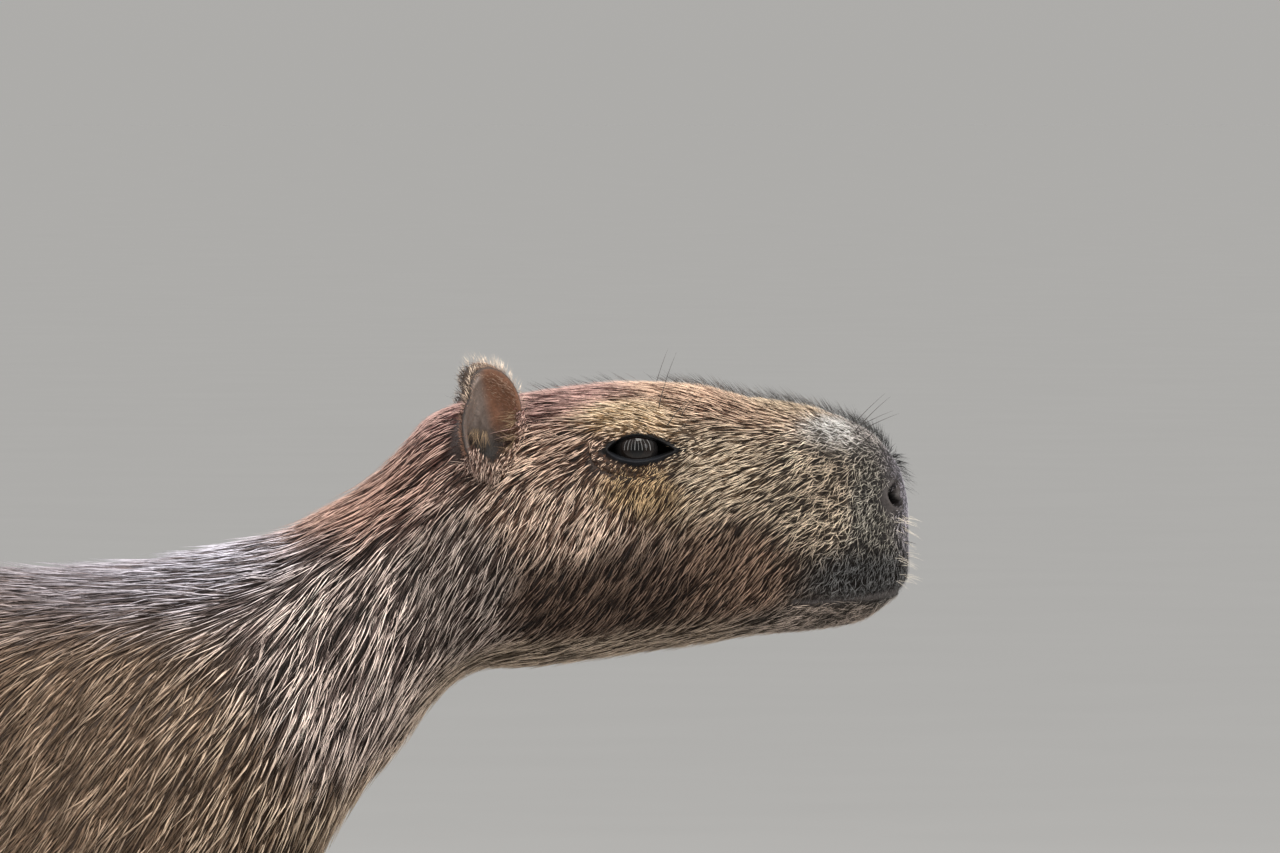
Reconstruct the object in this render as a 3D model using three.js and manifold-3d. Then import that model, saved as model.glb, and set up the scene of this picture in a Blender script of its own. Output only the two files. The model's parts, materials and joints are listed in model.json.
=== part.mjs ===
// A life-size adult capybara, standing square on four feet with its neck raised and its head level.
// Millimetres, +Z up, +X towards the nose, +Y the animal's left. The origin is on the floor, under the middle
// of the animal. The trunk and head are one lofted body, the legs are lofts set into it, and thin cuts part them.
import * as THREE from 'three';
import { mergeVertices } from 'three/addons/utils/BufferGeometryUtils.js';
import Module from 'manifold-3d';

const wasm = await Module();
wasm.setup();

// Driving dimensions
const NOSE_X = 537.5;           // the front of the muzzle
const RUMP_X = -537.5;          // the back of the rump
const GAP = 0.3;               // what touching pieces keep between them
const EPSILON = 1e-6;

// The trunk's loft: one row for each landmark from the nose back. x is the place along the body, top and bottom
// are the back line and the jaw, throat and belly line, half is half the width, mid is how far up the widest
// point lies, and up and low are the squareness of the section above and below it (2 is an ellipse).
const TRUNK = [
  { at: 'muzzle front', x: NOSE_X, top: 587, bottom: 487, half: 44, mid: 0.48, up: 2.7, low: 2.9 },
  { at: 'nostrils', x: 518.5, top: 592, bottom: 484, half: 47, mid: 0.46, up: 2.7, low: 2.9 },
  { at: 'snout', x: 496.5, top: 598, bottom: 481, half: 49, mid: 0.44, up: 2.7, low: 2.9 },
  { at: 'mouth corner', x: 472.5, top: 605, bottom: 478, half: 51, mid: 0.42, up: 2.7, low: 2.8 },
  { at: 'nose bridge', x: 441.5, top: 611.5, bottom: 474, half: 54, mid: 0.4, up: 2.8, low: 2.7 },
  { at: 'before the eye', x: 419.5, top: 617, bottom: 470, half: 58, mid: 0.39, up: 2.9, low: 2.6 },
  { at: 'eye', x: 382.5, top: 619, bottom: 465, half: 63.5, mid: 0.38, up: 3, low: 2.5 },
  { at: 'cheek', x: 339.5, top: 615, bottom: 459, half: 70, mid: 0.38, up: 2.8, low: 2.4 },
  { at: 'ear', x: 303.5, top: 609, bottom: 454, half: 73, mid: 0.4, up: 2.5, low: 2.3 },
  { at: 'nape', x: 284.5, top: 606.5, bottom: 443, half: 74, mid: 0.42, up: 2.4, low: 2.2 },
  { at: 'upper neck', x: 264.5, top: 596, bottom: 424, half: 77, mid: 0.44, up: 2.2, low: 2.2 },
  { at: 'mid neck', x: 240.5, top: 570, bottom: 395, half: 83, mid: 0.45, up: 2.1, low: 2.2 },
  { at: 'lower neck', x: 212.5, top: 552, bottom: 354, half: 92, mid: 0.46, up: 2.1, low: 2.2 },
  { at: 'point of the shoulder', x: 182.5, top: 537, bottom: 304, half: 103, mid: 0.47, up: 2.1, low: 2.2 },
  { at: 'withers', x: 152.5, top: 531, bottom: 258, half: 112, mid: 0.48, up: 2.1, low: 2.2 },
  { at: 'behind the withers', x: 122.5, top: 527, bottom: 226, half: 120, mid: 0.48, up: 2.1, low: 2.2 },
  { at: 'chest', x: 82.5, top: 522, bottom: 208, half: 127, mid: 0.47, up: 2.1, low: 2.3 },
  { at: 'girth', x: 22.5, top: 520, bottom: 197, half: 135, mid: 0.46, up: 2.1, low: 2.3 },
  { at: 'ribs', x: -65.5, top: 525, bottom: 186, half: 146, mid: 0.44, up: 2.1, low: 2.3 },
  { at: 'belly', x: -162.5, top: 536, bottom: 181, half: 153, mid: 0.43, up: 2.1, low: 2.3 },
  { at: 'loin', x: -259.5, top: 541, bottom: 189, half: 150, mid: 0.44, up: 2.1, low: 2.2 },
  { at: 'flank', x: -348, top: 535, bottom: 214, half: 141, mid: 0.46, up: 2.1, low: 2.2 },
  { at: 'croup', x: -418.5, top: 519, bottom: 246, half: 130, mid: 0.48, up: 2.1, low: 2.2 },
  { at: 'rump', x: RUMP_X, top: 480, bottom: 292, half: 116, mid: 0.5, up: 2.1, low: 2.2 },
];
// Each end of the trunk closes as a rounded cap: where it starts, the height of its pole, and its squareness.
const NOSE_CAP = { start: 492.5, end: NOSE_X, poleZ: 536, above: 2.9, below: 4.2, across: 3.4 };
const RUMP_CAP = { start: -410, end: RUMP_X, poleZ: 388, above: 2.2, below: 2.4, across: 2.2 };

// Muscle and bone that swell or sink the lofted skin: centre (y is for the left side, and the right mirrors it),
// reach along each axis, and the push at the centre.
const FORMS = [
  { of: 'brow', at: [380, 54, 603], reach: [28, 14, 11], push: [0, 3, 2.5] },
  { of: 'cheek bone', at: [364, 64, 556], reach: [42, 22, 18], push: [0, 3, 0] },
  { of: 'jaw muscle', at: [325, 72, 508], reach: [44, 30, 38], push: [0, 4.5, -1] },
  { of: 'hollow before the eye', at: [428, 54, 572], reach: [24, 18, 20], push: [0, -2.5, 0] },
  { of: 'lip pad', at: [508, 48, 524], reach: [26, 24, 18], push: [1, 3.5, 0] },
  { of: 'hollow of the cheek', at: [452, 54, 508], reach: [24, 22, 18], push: [0, -2, 0] },
  { of: 'nostril wing', at: [527, 36, 557], reach: [11, 13, 14], push: [2, 3, 0] },
  { of: 'dip between the nostrils', at: [537.5, 0, 566], reach: [14, 9, 20], push: [-2.5, 0, 0] },
  { of: 'snout gland', at: [488, 0, 602], reach: [26, 20, 14], push: [0, 0, 2.5] },
  { of: 'chin set back', at: [542, 0, 482], reach: [24, 70, 15], push: [-11, 0, 2] },
  { of: 'throat', at: [287, 0, 442], reach: [26, 60, 26], push: [0, 0, 7] },
  { of: 'shoulder blade', at: [127, 112, 410], reach: [62, 46, 88], push: [0, 9, 0] },
  { of: 'hollow behind the shoulder', at: [22, 130, 380], reach: [34, 50, 110], push: [0, -7, 0] },
  { of: 'hollow before the thigh', at: [-251, 145, 340], reach: [42, 50, 100], push: [0, -8, 0] },
  { of: 'thigh', at: [-383, 130, 370], reach: [90, 50, 100], push: [0, 10, 0] },
  { of: 'cleft of the rump', at: [-546, 0, 400], reach: [40, 16, 90], push: [9, 0, 0] },
];

// Legs: rows from the root in the trunk down to the floor. z is the height, x and y the centre, along and across
// the half sizes. slack is how far a foot is set forward of square, growing from none at the root.
const FORE_LEG = [
  { z: 342, x: 114, y: 70, along: 40, across: 26 },
  { z: 320, x: 112, y: 76, along: 57, across: 41 },
  { z: 280, x: 106, y: 83, along: 62, across: 46 },
  { z: 242, x: 96, y: 87, along: 55, across: 42 },
  { z: 208, x: 89, y: 89, along: 43, across: 35 },
  { z: 166.5, x: 90, y: 89, along: 37, across: 32 },
  { z: 126, x: 94, y: 88, along: 31, across: 28 },
  { z: 88, x: 99, y: 88, along: 28, across: 27 },
  { z: 63, x: 103, y: 88, along: 27, across: 28 },
  { z: 36, x: 109, y: 88, along: 27, across: 29 },
  { z: -6, x: 114, y: 88, along: 28, across: 30 },
];
const HIND_LEG = [
  { z: 432, x: -380, y: 70, along: 60, across: 34 },
  { z: 410, x: -381, y: 78, along: 86, across: 52 },
  { z: 360, x: -380, y: 86, along: 101, across: 64 },
  { z: 310, x: -372, y: 93, along: 102, across: 65 },
  { z: 265, x: -366, y: 97, along: 90, across: 58 },
  { z: 223, x: -372, y: 99, along: 70, across: 48 },
  { z: 183, x: -392, y: 100, along: 54, across: 40 },
  { z: 148.5, x: -416, y: 100, along: 41, across: 33 },
  { z: 117, x: -434, y: 100, along: 35, across: 29 },
  { z: 88, x: -432, y: 100, along: 29, across: 27 },
  { z: 59.5, x: -417, y: 100, along: 28, across: 28 },
  { z: 34, x: -402, y: 100, along: 29, across: 30 },
  { z: -6, x: -392, y: 100, along: 32, across: 32 },
];
const LEGS = [
  { name: 'fore_leg_left', rows: FORE_LEG, side: 1, slack: 16, foot: 'fore' },
  { name: 'fore_leg_right', rows: FORE_LEG, side: -1, slack: -14, foot: 'fore' },
  { name: 'hind_leg_left', rows: HIND_LEG, side: 1, slack: -16, foot: 'hind' },
  { name: 'hind_leg_right', rows: HIND_LEG, side: -1, slack: 14, foot: 'hind' },
];
// Feet: ankle is where the foot parts from the leg. Each toe leaves the pad at its root, fanned out by an angle,
// and ends in a blunt, hoof-like claw.
const FEET = {
  fore: {
    ankle: 62, ballX: 118, y: 88, toeRootZ: 18, toeTipZ: 13, claw: 19, clawRadius: 8,
    pad: [
      { x: 79, top: 26, half: 13 }, { x: 85, top: 38, half: 22 }, { x: 102, top: 50, half: 30 },
      { x: 122, top: 43, half: 35 }, { x: 140, top: 30, half: 37 }, { x: 153, top: 19, half: 36 },
    ],
    toes: [
      { across: -23, fan: -17, length: 38, root: 13.5, tip: 12 },
      { across: -8, fan: -5, length: 49, root: 14.5, tip: 13 },
      { across: 8, fan: 6, length: 47, root: 14.5, tip: 13 },
      { across: 23, fan: 19, length: 35, root: 13, tip: 11.5 },
    ],
  },
  hind: {
    ankle: 58, ballX: -384, y: 100, toeRootZ: 21, toeTipZ: 15.5, claw: 24, clawRadius: 10,
    pad: [
      { x: -437, top: 22, half: 12 }, { x: -429, top: 34, half: 22 }, { x: -408, top: 52, half: 31 },
      { x: -384, top: 45, half: 37 }, { x: -360, top: 32, half: 40 }, { x: -342, top: 20, half: 38 },
    ],
    toes: [
      { across: -23, fan: -12, length: 53, root: 16.5, tip: 14.5 },
      { across: 0, fan: 0, length: 67, root: 18, tip: 15.5 },
      { across: 23, fan: 13, length: 50, root: 16.5, tip: 14.5 },
    ],
  },
};

// Head details
const EYE = { x: 383, y: 49, z: 582, radius: 12.6 };
// The lids swell as one low dome over the eyeball, and an almond opening is cut through it, front corner first.
const LIDS = { along: 25, out: 14.9, high: 14.5, shift: 2.5 };
const EYE_OPENING = { front: 14.5, back: 11.8, rise: 7.2, fall: 6.6, frontDrop: -2 };
const NOSTRIL = { x: 528, y: 38, z: 557, along: 4.2, deep: 11, high: 8.6, turn: 62, lean: 14 };
const MOUTH = { frontZ: 505, cornerX: 474.5, cornerZ: 498, open: 1.7, depth: 5, setBack: 4 };
// The ear's rim, round from its front edge over the top and down the back. y is how far out from the middle.
const EAR_RIM = [
  { x: 319.5, y: 51, z: 598 }, { x: 319, y: 51.5, z: 606 }, { x: 317, y: 52.5, z: 613.5 },
  { x: 313, y: 54.5, z: 620.5 }, { x: 307.5, y: 57, z: 625.5 }, { x: 300.5, y: 60, z: 627.5 },
  { x: 294, y: 63, z: 625.5 }, { x: 290.5, y: 65, z: 619.5 }, { x: 290, y: 65.5, z: 612 },
  { x: 287.5, y: 66.5, z: 605.5 }, { x: 286, y: 67.5, z: 598 }, { x: 286.5, y: 68.5, z: 589 },
  { x: 289, y: 69, z: 579.5 }, { x: 295, y: 69, z: 572 }, { x: 304, y: 66.5, z: 569.5 },
  { x: 312.5, y: 61.5, z: 574 }, { x: 317.5, y: 55.5, z: 582 }, { x: 319.5, y: 52, z: 590 },
];
const EAR_CENTRE = { x: 303, y: 60, z: 594 };
// The ear's wall from deep outside, over the rim, to the floor of its cup: share of the rim and depth behind it.
const EAR_WALL = [
  { share: 0.3, sink: 25 }, { share: 0.62, sink: 20 }, { share: 0.86, sink: 12 }, { share: 0.99, sink: 5 },
  { share: 1.02, sink: 1.5 }, { share: 0.98, sink: 0 }, { share: 0.88, sink: 1.8 }, { share: 0.78, sink: 6.5 },
  { share: 0.58, sink: 11.5 }, { share: 0.3, sink: 14.5 },
];
const EAR_OUTSIDE = 6;         // how many of those rings make its outside

// Cuts: each plane is given by where it crosses the back line and the throat line in the side view.
const CUTS = {
  headNeck: { topX: 279.5, topZ: 620, bottomX: 262, bottomZ: 400 },
  neckTorso: { topX: 158.5, topZ: 550, bottomX: 216, bottomZ: 290 },
};

const SEGMENTS = 40;           // round the trunk
const LEG_SEGMENTS = 18;       // round each leg
const SKIN = { color: 0x6b5140, roughness: 0.85, metalness: 0 };
const DARK = { color: 0x2b2724, roughness: 0.6, metalness: 0 };
const HORN = { color: 0x1d1a18, roughness: 0.45, metalness: 0 };
const GLOSS = { color: 0x0d0a09, roughness: 0.08, metalness: 0 };

// A smooth value between rows at x, by a cubic that never overshoots its rows.
function along(rows, axis, key, x) {
  const ordered = rows[0][axis] < rows[rows.length - 1][axis] ? rows : [...rows].reverse();
  const last = ordered.length - 1;
  const clamped = Math.min(Math.max(x, ordered[0][axis]), ordered[last][axis]);
  let i = 0;
  while (i < last - 1 && clamped > ordered[i + 1][axis]) i += 1;
  const slope = (k) => (ordered[k + 1][key] - ordered[k][key]) / (ordered[k + 1][axis] - ordered[k][axis]);
  const tangent = (k) => {
    if (k === 0) return slope(0);
    if (k === last) return slope(last - 1);
    const before = slope(k - 1);
    const after = slope(k);
    return before * after <= 0 ? 0 : (2 * before * after) / (before + after);
  };
  const h = ordered[i + 1][axis] - ordered[i][axis];
  const t = (clamped - ordered[i][axis]) / h;
  return (
    ordered[i][key] * (1 + 2 * t) * (1 - t) ** 2 +
    tangent(i) * h * t * (1 - t) ** 2 +
    ordered[i + 1][key] * t * t * (3 - 2 * t) +
    tangent(i + 1) * h * t * t * (t - 1)
  );
}

// The share of full size that is left at a place in an end cap, from 1 at its start to 0 at its pole.
function capShare(cap, x, squareness) {
  const s = Math.min(Math.max((x - cap.start) / (cap.end - cap.start), 0), 1);
  return (1 - s ** squareness) ** (1 / squareness);
}

// A point with y and z of a section whose half sizes are across, up and down, at an angle from its left side.
function sectionPoint(angle, across, up, down, upPower, downPower) {
  const c = Math.cos(angle);
  const s = Math.sin(angle);
  const power = s >= 0 ? upPower : downPower;
  const high = Math.max(s >= 0 ? up : down, EPSILON);
  const reach = (Math.abs(c / Math.max(across, EPSILON)) ** power + Math.abs(s / high) ** power) ** (-1 / power);
  return [reach * c, reach * s];
}

// The muscle and bone forms, as a push on a point.
function formed(point) {
  const side = point.y < 0 ? -1 : 1;
  const moved = point.clone();
  for (const { at, reach, push } of FORMS) {
    const off =
      ((point.x - at[0]) / reach[0]) ** 2 +
      ((Math.abs(point.y) - at[1]) / reach[1]) ** 2 +
      ((point.z - at[2]) / reach[2]) ** 2;
    const share = Math.exp(-off);
    moved.add(new THREE.Vector3(push[0] * share, push[1] * share * side, push[2] * share));
  }
  return moved;
}

// The sizes of the trunk's section at x.
function trunkSize(x) {
  const cap = x > 0 ? NOSE_CAP : RUMP_CAP;
  const top = cap.poleZ + (along(TRUNK, 'x', 'top', x) - cap.poleZ) * capShare(cap, x, cap.above);
  const bottom = cap.poleZ + (along(TRUNK, 'x', 'bottom', x) - cap.poleZ) * capShare(cap, x, cap.below);
  return {
    half: along(TRUNK, 'x', 'half', x) * capShare(cap, x, cap.across),
    middle: bottom + along(TRUNK, 'x', 'mid', x) * (top - bottom),
    top,
    bottom,
    up: along(TRUNK, 'x', 'up', x),
    low: along(TRUNK, 'x', 'low', x),
  };
}

// One ring of the trunk at x.
function trunkRing(x) {
  const { half, middle, top, bottom, up, low } = trunkSize(x);
  return Array.from({ length: SEGMENTS }, (_, k) => {
    const angle = (k / SEGMENTS) * 2 * Math.PI;
    const [y, z] = sectionPoint(angle, half, top - middle, middle - bottom, up, low);
    return formed(new THREE.Vector3(x, y, middle + z));
  });
}

// The point of the skin at x and z on the left side.
function skinPoint(x, z) {
  const { half, middle, top, bottom, up, low } = trunkSize(x);
  const power = z > middle ? up : low;
  const high = Math.max(z > middle ? top - middle : middle - bottom, EPSILON);
  const share = Math.min(Math.abs(z - middle) / high, 1);
  return formed(new THREE.Vector3(x, half * (1 - share ** power) ** (1 / power), z));
}

// A closed surface through rings of points, with a fan over each end.
function loft(rings) {
  const count = rings[0].length;
  const centre = (ring) => ring.reduce((sum, p) => sum.add(p), new THREE.Vector3()).divideScalar(ring.length);
  const points = [...rings.flat(), centre(rings[0]), centre(rings[rings.length - 1])];
  const first = rings.length * count;
  const faces = [];
  for (let k = 0; k < count; k += 1) {
    const next = (k + 1) % count;
    faces.push(first, next, k);
    for (let r = 0; r < rings.length - 1; r += 1) {
      const a = r * count;
      const b = a + count;
      faces.push(a + k, a + next, b + next, a + k, b + next, b + k);
    }
    faces.push(first + 1, first - count + k, first - count + next);
  }
  const geometry = new THREE.BufferGeometry().setFromPoints(points);
  geometry.setIndex(faces);
  return geometry;
}

// Closed geometry as a solid for joining and cutting, turned to face out.
function solid(geometry) {
  const bare = geometry.clone();
  bare.deleteAttribute('normal');
  bare.deleteAttribute('uv');
  const merged = mergeVertices(bare, 1e-4);
  const triVerts = new Uint32Array(merged.index.array);
  const make = () =>
    new wasm.Manifold(new wasm.Mesh({ numProp: 3, vertProperties: merged.attributes.position.array, triVerts }));
  const made = make();
  if (made.volume() > 0) return made;
  for (let i = 0; i < triVerts.length; i += 3) [triVerts[i + 1], triVerts[i + 2]] = [triVerts[i + 2], triVerts[i + 1]];
  return make();
}

// The largest closed surface of a solid.
function largest(body) {
  return body.decompose().sort((a, b) => b.volume() - a.volume())[0];
}

// A solid back as geometry, with one normal for each face.
function geometryOf(body) {
  const mesh = body.getMesh();
  const geometry = new THREE.BufferGeometry();
  geometry.setAttribute('position', new THREE.BufferAttribute(new Float32Array(mesh.vertProperties), 3));
  geometry.setIndex(new THREE.BufferAttribute(new Uint32Array(mesh.triVerts), 1));
  const flat = geometry.toNonIndexed();
  flat.computeVertexNormals();
  return flat;
}

// A tube along points: across is its half size to the side, high its half size upwards, at each point.
function tube(points, across, high, sides, sideways = new THREE.Vector3(0, 1, 0)) {
  const rings = points.map((point, i) => {
    const ahead = points[Math.min(i + 1, points.length - 1)];
    const behind = points[Math.max(i - 1, 0)];
    const forward = ahead.clone().sub(behind).normalize();
    const up = forward.clone().cross(sideways).normalize();
    const out = up.clone().cross(forward).normalize();
    return Array.from({ length: sides }, (_, k) => {
      const angle = (k / sides) * 2 * Math.PI;
      return point
        .clone()
        .addScaledVector(out, across[i] * Math.cos(angle))
        .addScaledVector(up, high[i] * Math.sin(angle));
    });
  });
  return loft(rings);
}

// An ellipsoid, turned about z and then tipped about its own y.
function ellipsoid(centre, radii, turn = 0, tip = 0) {
  const sphere = new THREE.SphereGeometry(1, 16, 10);
  const place = new THREE.Matrix4()
    .makeTranslation(...centre)
    .multiply(new THREE.Matrix4().makeRotationZ(THREE.MathUtils.degToRad(turn)))
    .multiply(new THREE.Matrix4().makeRotationY(THREE.MathUtils.degToRad(tip)))
    .multiply(new THREE.Matrix4().makeScale(...radii));
  return solid(sphere.applyMatrix4(place));
}

// The half of a body ahead of a cut plane, or behind it, half a gap clear of the plane.
function trimmed(body, cut, ahead) {
  const down = new THREE.Vector3(cut.bottomX - cut.topX, 0, cut.bottomZ - cut.topZ).normalize();
  const normal = new THREE.Vector3(-down.z, 0, down.x);
  if (!ahead) normal.negate();
  const through = normal.x * cut.topX + normal.z * cut.topZ;
  return body.trimByPlane([normal.x, normal.y, normal.z], through + GAP / 2);
}

// The whole trunk and head, with rings set closer at both round ends.
function trunk() {
  const noseRings = 9;
  const rumpRings = 7;
  const places = [];
  for (let i = 0; i < noseRings; i += 1) {
    const angle = (0.5 + (i / noseRings) * 15.5) / 16;
    places.push(NOSE_CAP.start + (NOSE_CAP.end - NOSE_CAP.start) * Math.cos(((angle * Math.PI) / 2) ** 1.0));
  }
  const spans = [
    [NOSE_CAP.start, 457, 6], [446, 392, 6], [380, 317, 5], [303, 196, 8], [180, RUMP_CAP.start, 15],
  ];
  for (const [from, to, count] of spans) {
    for (let i = 0; i < count; i += 1) places.push(from + ((to - from) * i) / (count - 1));
  }
  for (let i = 1; i <= rumpRings; i += 1) {
    const angle = ((i / rumpRings) * 15.4) / 16;
    places.push(RUMP_CAP.start + (RUMP_CAP.end - RUMP_CAP.start) * Math.sin((angle * Math.PI) / 2));
  }
  return solid(loft([...new Set(places)].map(trunkRing)));
}

// One leg's loft, with its sizes grown by a margin for the socket it sits in.
function legTube(leg, grow = 0) {
  const high = leg.rows[0].z;
  const rings = leg.rows.map((row, i) => {
    const z = i === 0 ? row.z + grow : row.z;
    const x = row.x + leg.slack * (1 - Math.max(row.z, 0) / high);
    return Array.from({ length: LEG_SEGMENTS }, (_, k) => {
      const angle = (k / LEG_SEGMENTS) * 2 * Math.PI;
      return new THREE.Vector3(
        x + (row.along + grow) * Math.cos(angle),
        leg.side * row.y + (row.across + grow) * Math.sin(angle),
        z,
      );
    });
  });
  return solid(loft(rings));
}

// A toe's line from its root in the pad to the end of its claw.
function toeLine(leg, foot, toe) {
  const fan = THREE.MathUtils.degToRad(toe.fan);
  const way = new THREE.Vector3(Math.cos(fan), leg.side * Math.sin(fan), 0);
  const root = new THREE.Vector3(foot.ballX + leg.slack, leg.side * (foot.y + toe.across), foot.toeRootZ);
  const at = (reach, z) => root.clone().addScaledVector(way, reach).setZ(z);
  return { at, way };
}

function toeSolid(leg, foot, toe) {
  const { at } = toeLine(leg, foot, toe);
  const reaches = [-0.1, 0.35, 0.68, 0.9, 1.03];
  const heights = [1, 0.95, 0.62, 0.2, 0.0];
  const widths = [0.9, 1, 0.9, 0.94, 0.62];
  const points = reaches.map((r, i) =>
    at(toe.length * r, foot.toeTipZ + (foot.toeRootZ - foot.toeTipZ) * heights[i]));
  const size = widths.map((w, i) => w * (toe.root + (toe.tip - toe.root) * Math.min(i / 3, 1)));
  return solid(tube(points, size, size, 8));
}

function clawSolid(leg, foot, toe, grow = 0) {
  const { at } = toeLine(leg, foot, toe);
  const start = toe.length * 0.9 - grow;
  const reaches = [0, 0.4, 0.72, 1];
  const heights = [1.0, 0.95, 0.78, 0.55];
  const widths = [0.96, 1, 0.8, 0.42];
  const thickness = [0.9, 0.86, 0.6, 0.26];
  const points = reaches.map((r, i) =>
    at(start + (foot.claw + toe.tip * 0.5 + grow) * r, foot.toeTipZ * heights[i]));
  const across = widths.map((w) => w * foot.clawRadius + grow);
  const high = thickness.map((w) => w * foot.clawRadius + grow);
  return solid(tube(points, across, high, 8));
}

// The pad and instep, lofted forward with a flat sole.
function padSolid(leg, foot) {
  const rings = foot.pad.map(({ x, top, half }) =>
    Array.from({ length: 14 }, (_, k) => {
      const angle = (k / 14) * 2 * Math.PI;
      const z = top / 2 + (top / 2 + 2) * Math.sin(angle);
      return new THREE.Vector3(x + leg.slack, leg.side * foot.y + half * Math.cos(angle), z);
    }));
  return solid(loft(rings));
}

// One ring of the ear: its rim drawn in towards the middle and sunk towards the head.
function earRing(side, share, sink) {
  return EAR_RIM.map((rim) => new THREE.Vector3(
    EAR_CENTRE.x + (rim.x - EAR_CENTRE.x) * share - sink * 0.12,
    side * (EAR_CENTRE.y + (rim.y - EAR_CENTRE.y) * share - sink),
    EAR_CENTRE.z + (rim.z - EAR_CENTRE.z) * share - sink * 0.2,
  ));
}

// The ear as a cup with a rolled rim.
function earCup(side) {
  return solid(loft(EAR_WALL.map(({ share, sink }) => earRing(side, share, sink))));
}

// The seat of the ear in the head: its outside grown by the gap, filled up past the rim.
function earSeat(side) {
  const outside = EAR_WALL.slice(0, EAR_OUTSIDE).map(({ share, sink }, i) =>
    earRing(side, share + GAP / 11, sink + (i < 3 ? GAP : 0)));
  return solid(loft([...outside, earRing(side, 0.98, -9)]));
}

// The almond between the lids, as a bar running out sideways.
function eyeOpening(side) {
  const { front, back, rise, fall, frontDrop } = EYE_OPENING;
  const outline = new THREE.Shape();
  outline.moveTo(EYE.x - back, EYE.z);
  outline.bezierCurveTo(
    EYE.x - back * 0.75, EYE.z + rise * 1.25, EYE.x + back * 0.7, EYE.z + rise * 1.3,
    EYE.x + front, EYE.z + frontDrop);
  outline.bezierCurveTo(
    EYE.x + back * 0.9, EYE.z - fall * 0.95, EYE.x - back * 0.6, EYE.z - fall * 1.55,
    EYE.x - back, EYE.z);
  const bar = new THREE.ExtrudeGeometry(outline, { depth: 30, bevelEnabled: false, curveSegments: 8 });
  bar.rotateX(Math.PI / 2).translate(0, side > 0 ? EYE.y + 36.5 : -EYE.y - 6.5, 0);
  return solid(bar);
}

// The groove of the mouth: a thin slab at the lips' line, less a core as far inside the skin as the groove is deep.
function mouthGroove() {
  const outline = new THREE.Shape();
  outline.moveTo(NOSE_X + 20, MOUTH.frontZ + MOUTH.open);
  outline.quadraticCurveTo(NOSE_X - 30, MOUTH.frontZ + MOUTH.open, MOUTH.cornerX, MOUTH.cornerZ);
  outline.quadraticCurveTo(NOSE_X - 30, MOUTH.frontZ - MOUTH.open, NOSE_X + 20, MOUTH.frontZ - MOUTH.open);
  const width = 140;
  const slab = new THREE.ExtrudeGeometry(outline, { depth: width, bevelEnabled: false, curveSegments: 5 });
  slab.rotateX(Math.PI / 2).translate(0, width / 2, 0);
  const steps = 12;
  const front = Array.from({ length: steps + 1 }, (_, i) =>
    skinPoint(NOSE_X - MOUTH.setBack - 105 * (1 - Math.cos((i / steps) * Math.PI * 0.5)), MOUTH.frontZ - 2));
  const inset = front.map((point, i) => {
    const before = i === 0 ? new THREE.Vector3(point.x, -point.y, point.z) : front[i - 1];
    const way = front[Math.min(i + 1, steps)].clone().sub(before).normalize();
    return point.clone().add(new THREE.Vector3(way.y, -way.x, 0).multiplyScalar(-MOUTH.depth));
  });
  const outlineAt = (z) => [
    ...inset.map((p) => new THREE.Vector3(p.x, p.y, z)),
    ...[...inset].reverse().map((p) => new THREE.Vector3(p.x, -p.y, z)),
  ];
  const core = solid(loft([outlineAt(MOUTH.frontZ - 25), outlineAt(MOUTH.frontZ + 20)]));
  return solid(slab).subtract(core);
}

// Everything joined and cut into the named pieces
const pieces = new Map();
const whole = trunk();
let torso = trimmed(whole, CUTS.neckTorso, false);
let neck = trimmed(trimmed(whole, CUTS.neckTorso, true), CUTS.headNeck, false);
let head = trimmed(whole, CUTS.headNeck, true);

for (const leg of LEGS) {
  const foot = FEET[leg.foot];
  torso = torso.subtract(legTube(leg, GAP));
  let limb = legTube(leg).add(padSolid(leg, foot));
  for (const toe of foot.toes) limb = limb.add(toeSolid(leg, foot, toe));
  limb = limb.trimByPlane([0, 0, 1], 0);
  foot.toes.forEach((toe, i) => {
    const claw = clawSolid(leg, foot, toe);
    limb = limb.subtract(clawSolid(leg, foot, toe, GAP));
    pieces.set(leg.name.replace('leg', 'claw') + '_' + (i + 1), { body: claw, look: HORN });
  });
  pieces.set(leg.name, { body: limb.trimByPlane([0, 0, 1], foot.ankle + GAP / 2), look: SKIN });
  pieces.set(leg.name.replace('leg', 'foot'), {
    body: limb.trimByPlane([0, 0, -1], -(foot.ankle - GAP / 2)), look: DARK,
  });
}

head = head.subtract(mouthGroove());
for (const [label, side] of [['left', 1], ['right', -1]]) {
  const ball = (radius) => new THREE.SphereGeometry(radius, 20, 12).translate(EYE.x, side * EYE.y, EYE.z);
  head = head.add(ellipsoid([EYE.x + LIDS.shift, side * EYE.y, EYE.z], [LIDS.along, LIDS.out, LIDS.high]));
  head = head.subtract(eyeOpening(side)).subtract(solid(ball(EYE.radius + GAP)));
  head = head.subtract(ellipsoid(
    [NOSTRIL.x, side * NOSTRIL.y, NOSTRIL.z], [NOSTRIL.deep, NOSTRIL.along, NOSTRIL.high],
    side * NOSTRIL.turn, NOSTRIL.lean));
  head = head.subtract(earSeat(side));
  pieces.set('eye_' + label, { body: solid(ball(EYE.radius)), look: GLOSS });
  pieces.set('ear_' + label, { body: earCup(side), look: DARK });
}
pieces.set('head', { body: head, look: SKIN });
pieces.set('neck', { body: neck, look: SKIN });
pieces.set('torso', { body: torso, look: SKIN });

const capybara = new THREE.Group();
capybara.name = 'capybara';
for (const [name, { body, look }] of pieces) {
  const mesh = new THREE.Mesh(geometryOf(largest(body)), new THREE.MeshStandardMaterial(look));
  mesh.name = name;
  capybara.add(mesh);
}

export default capybara;
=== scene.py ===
"""A life-size capybara standing on four feet: skin, eyes, ears, claws, whiskers and a coat of solid tufts.

Inside the classes every length is in millimetres, in the frame of the solids: +X to the nose,
+Y to the animal's left and +Z up from the floor. Meshes are written in metres.
"""

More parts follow.
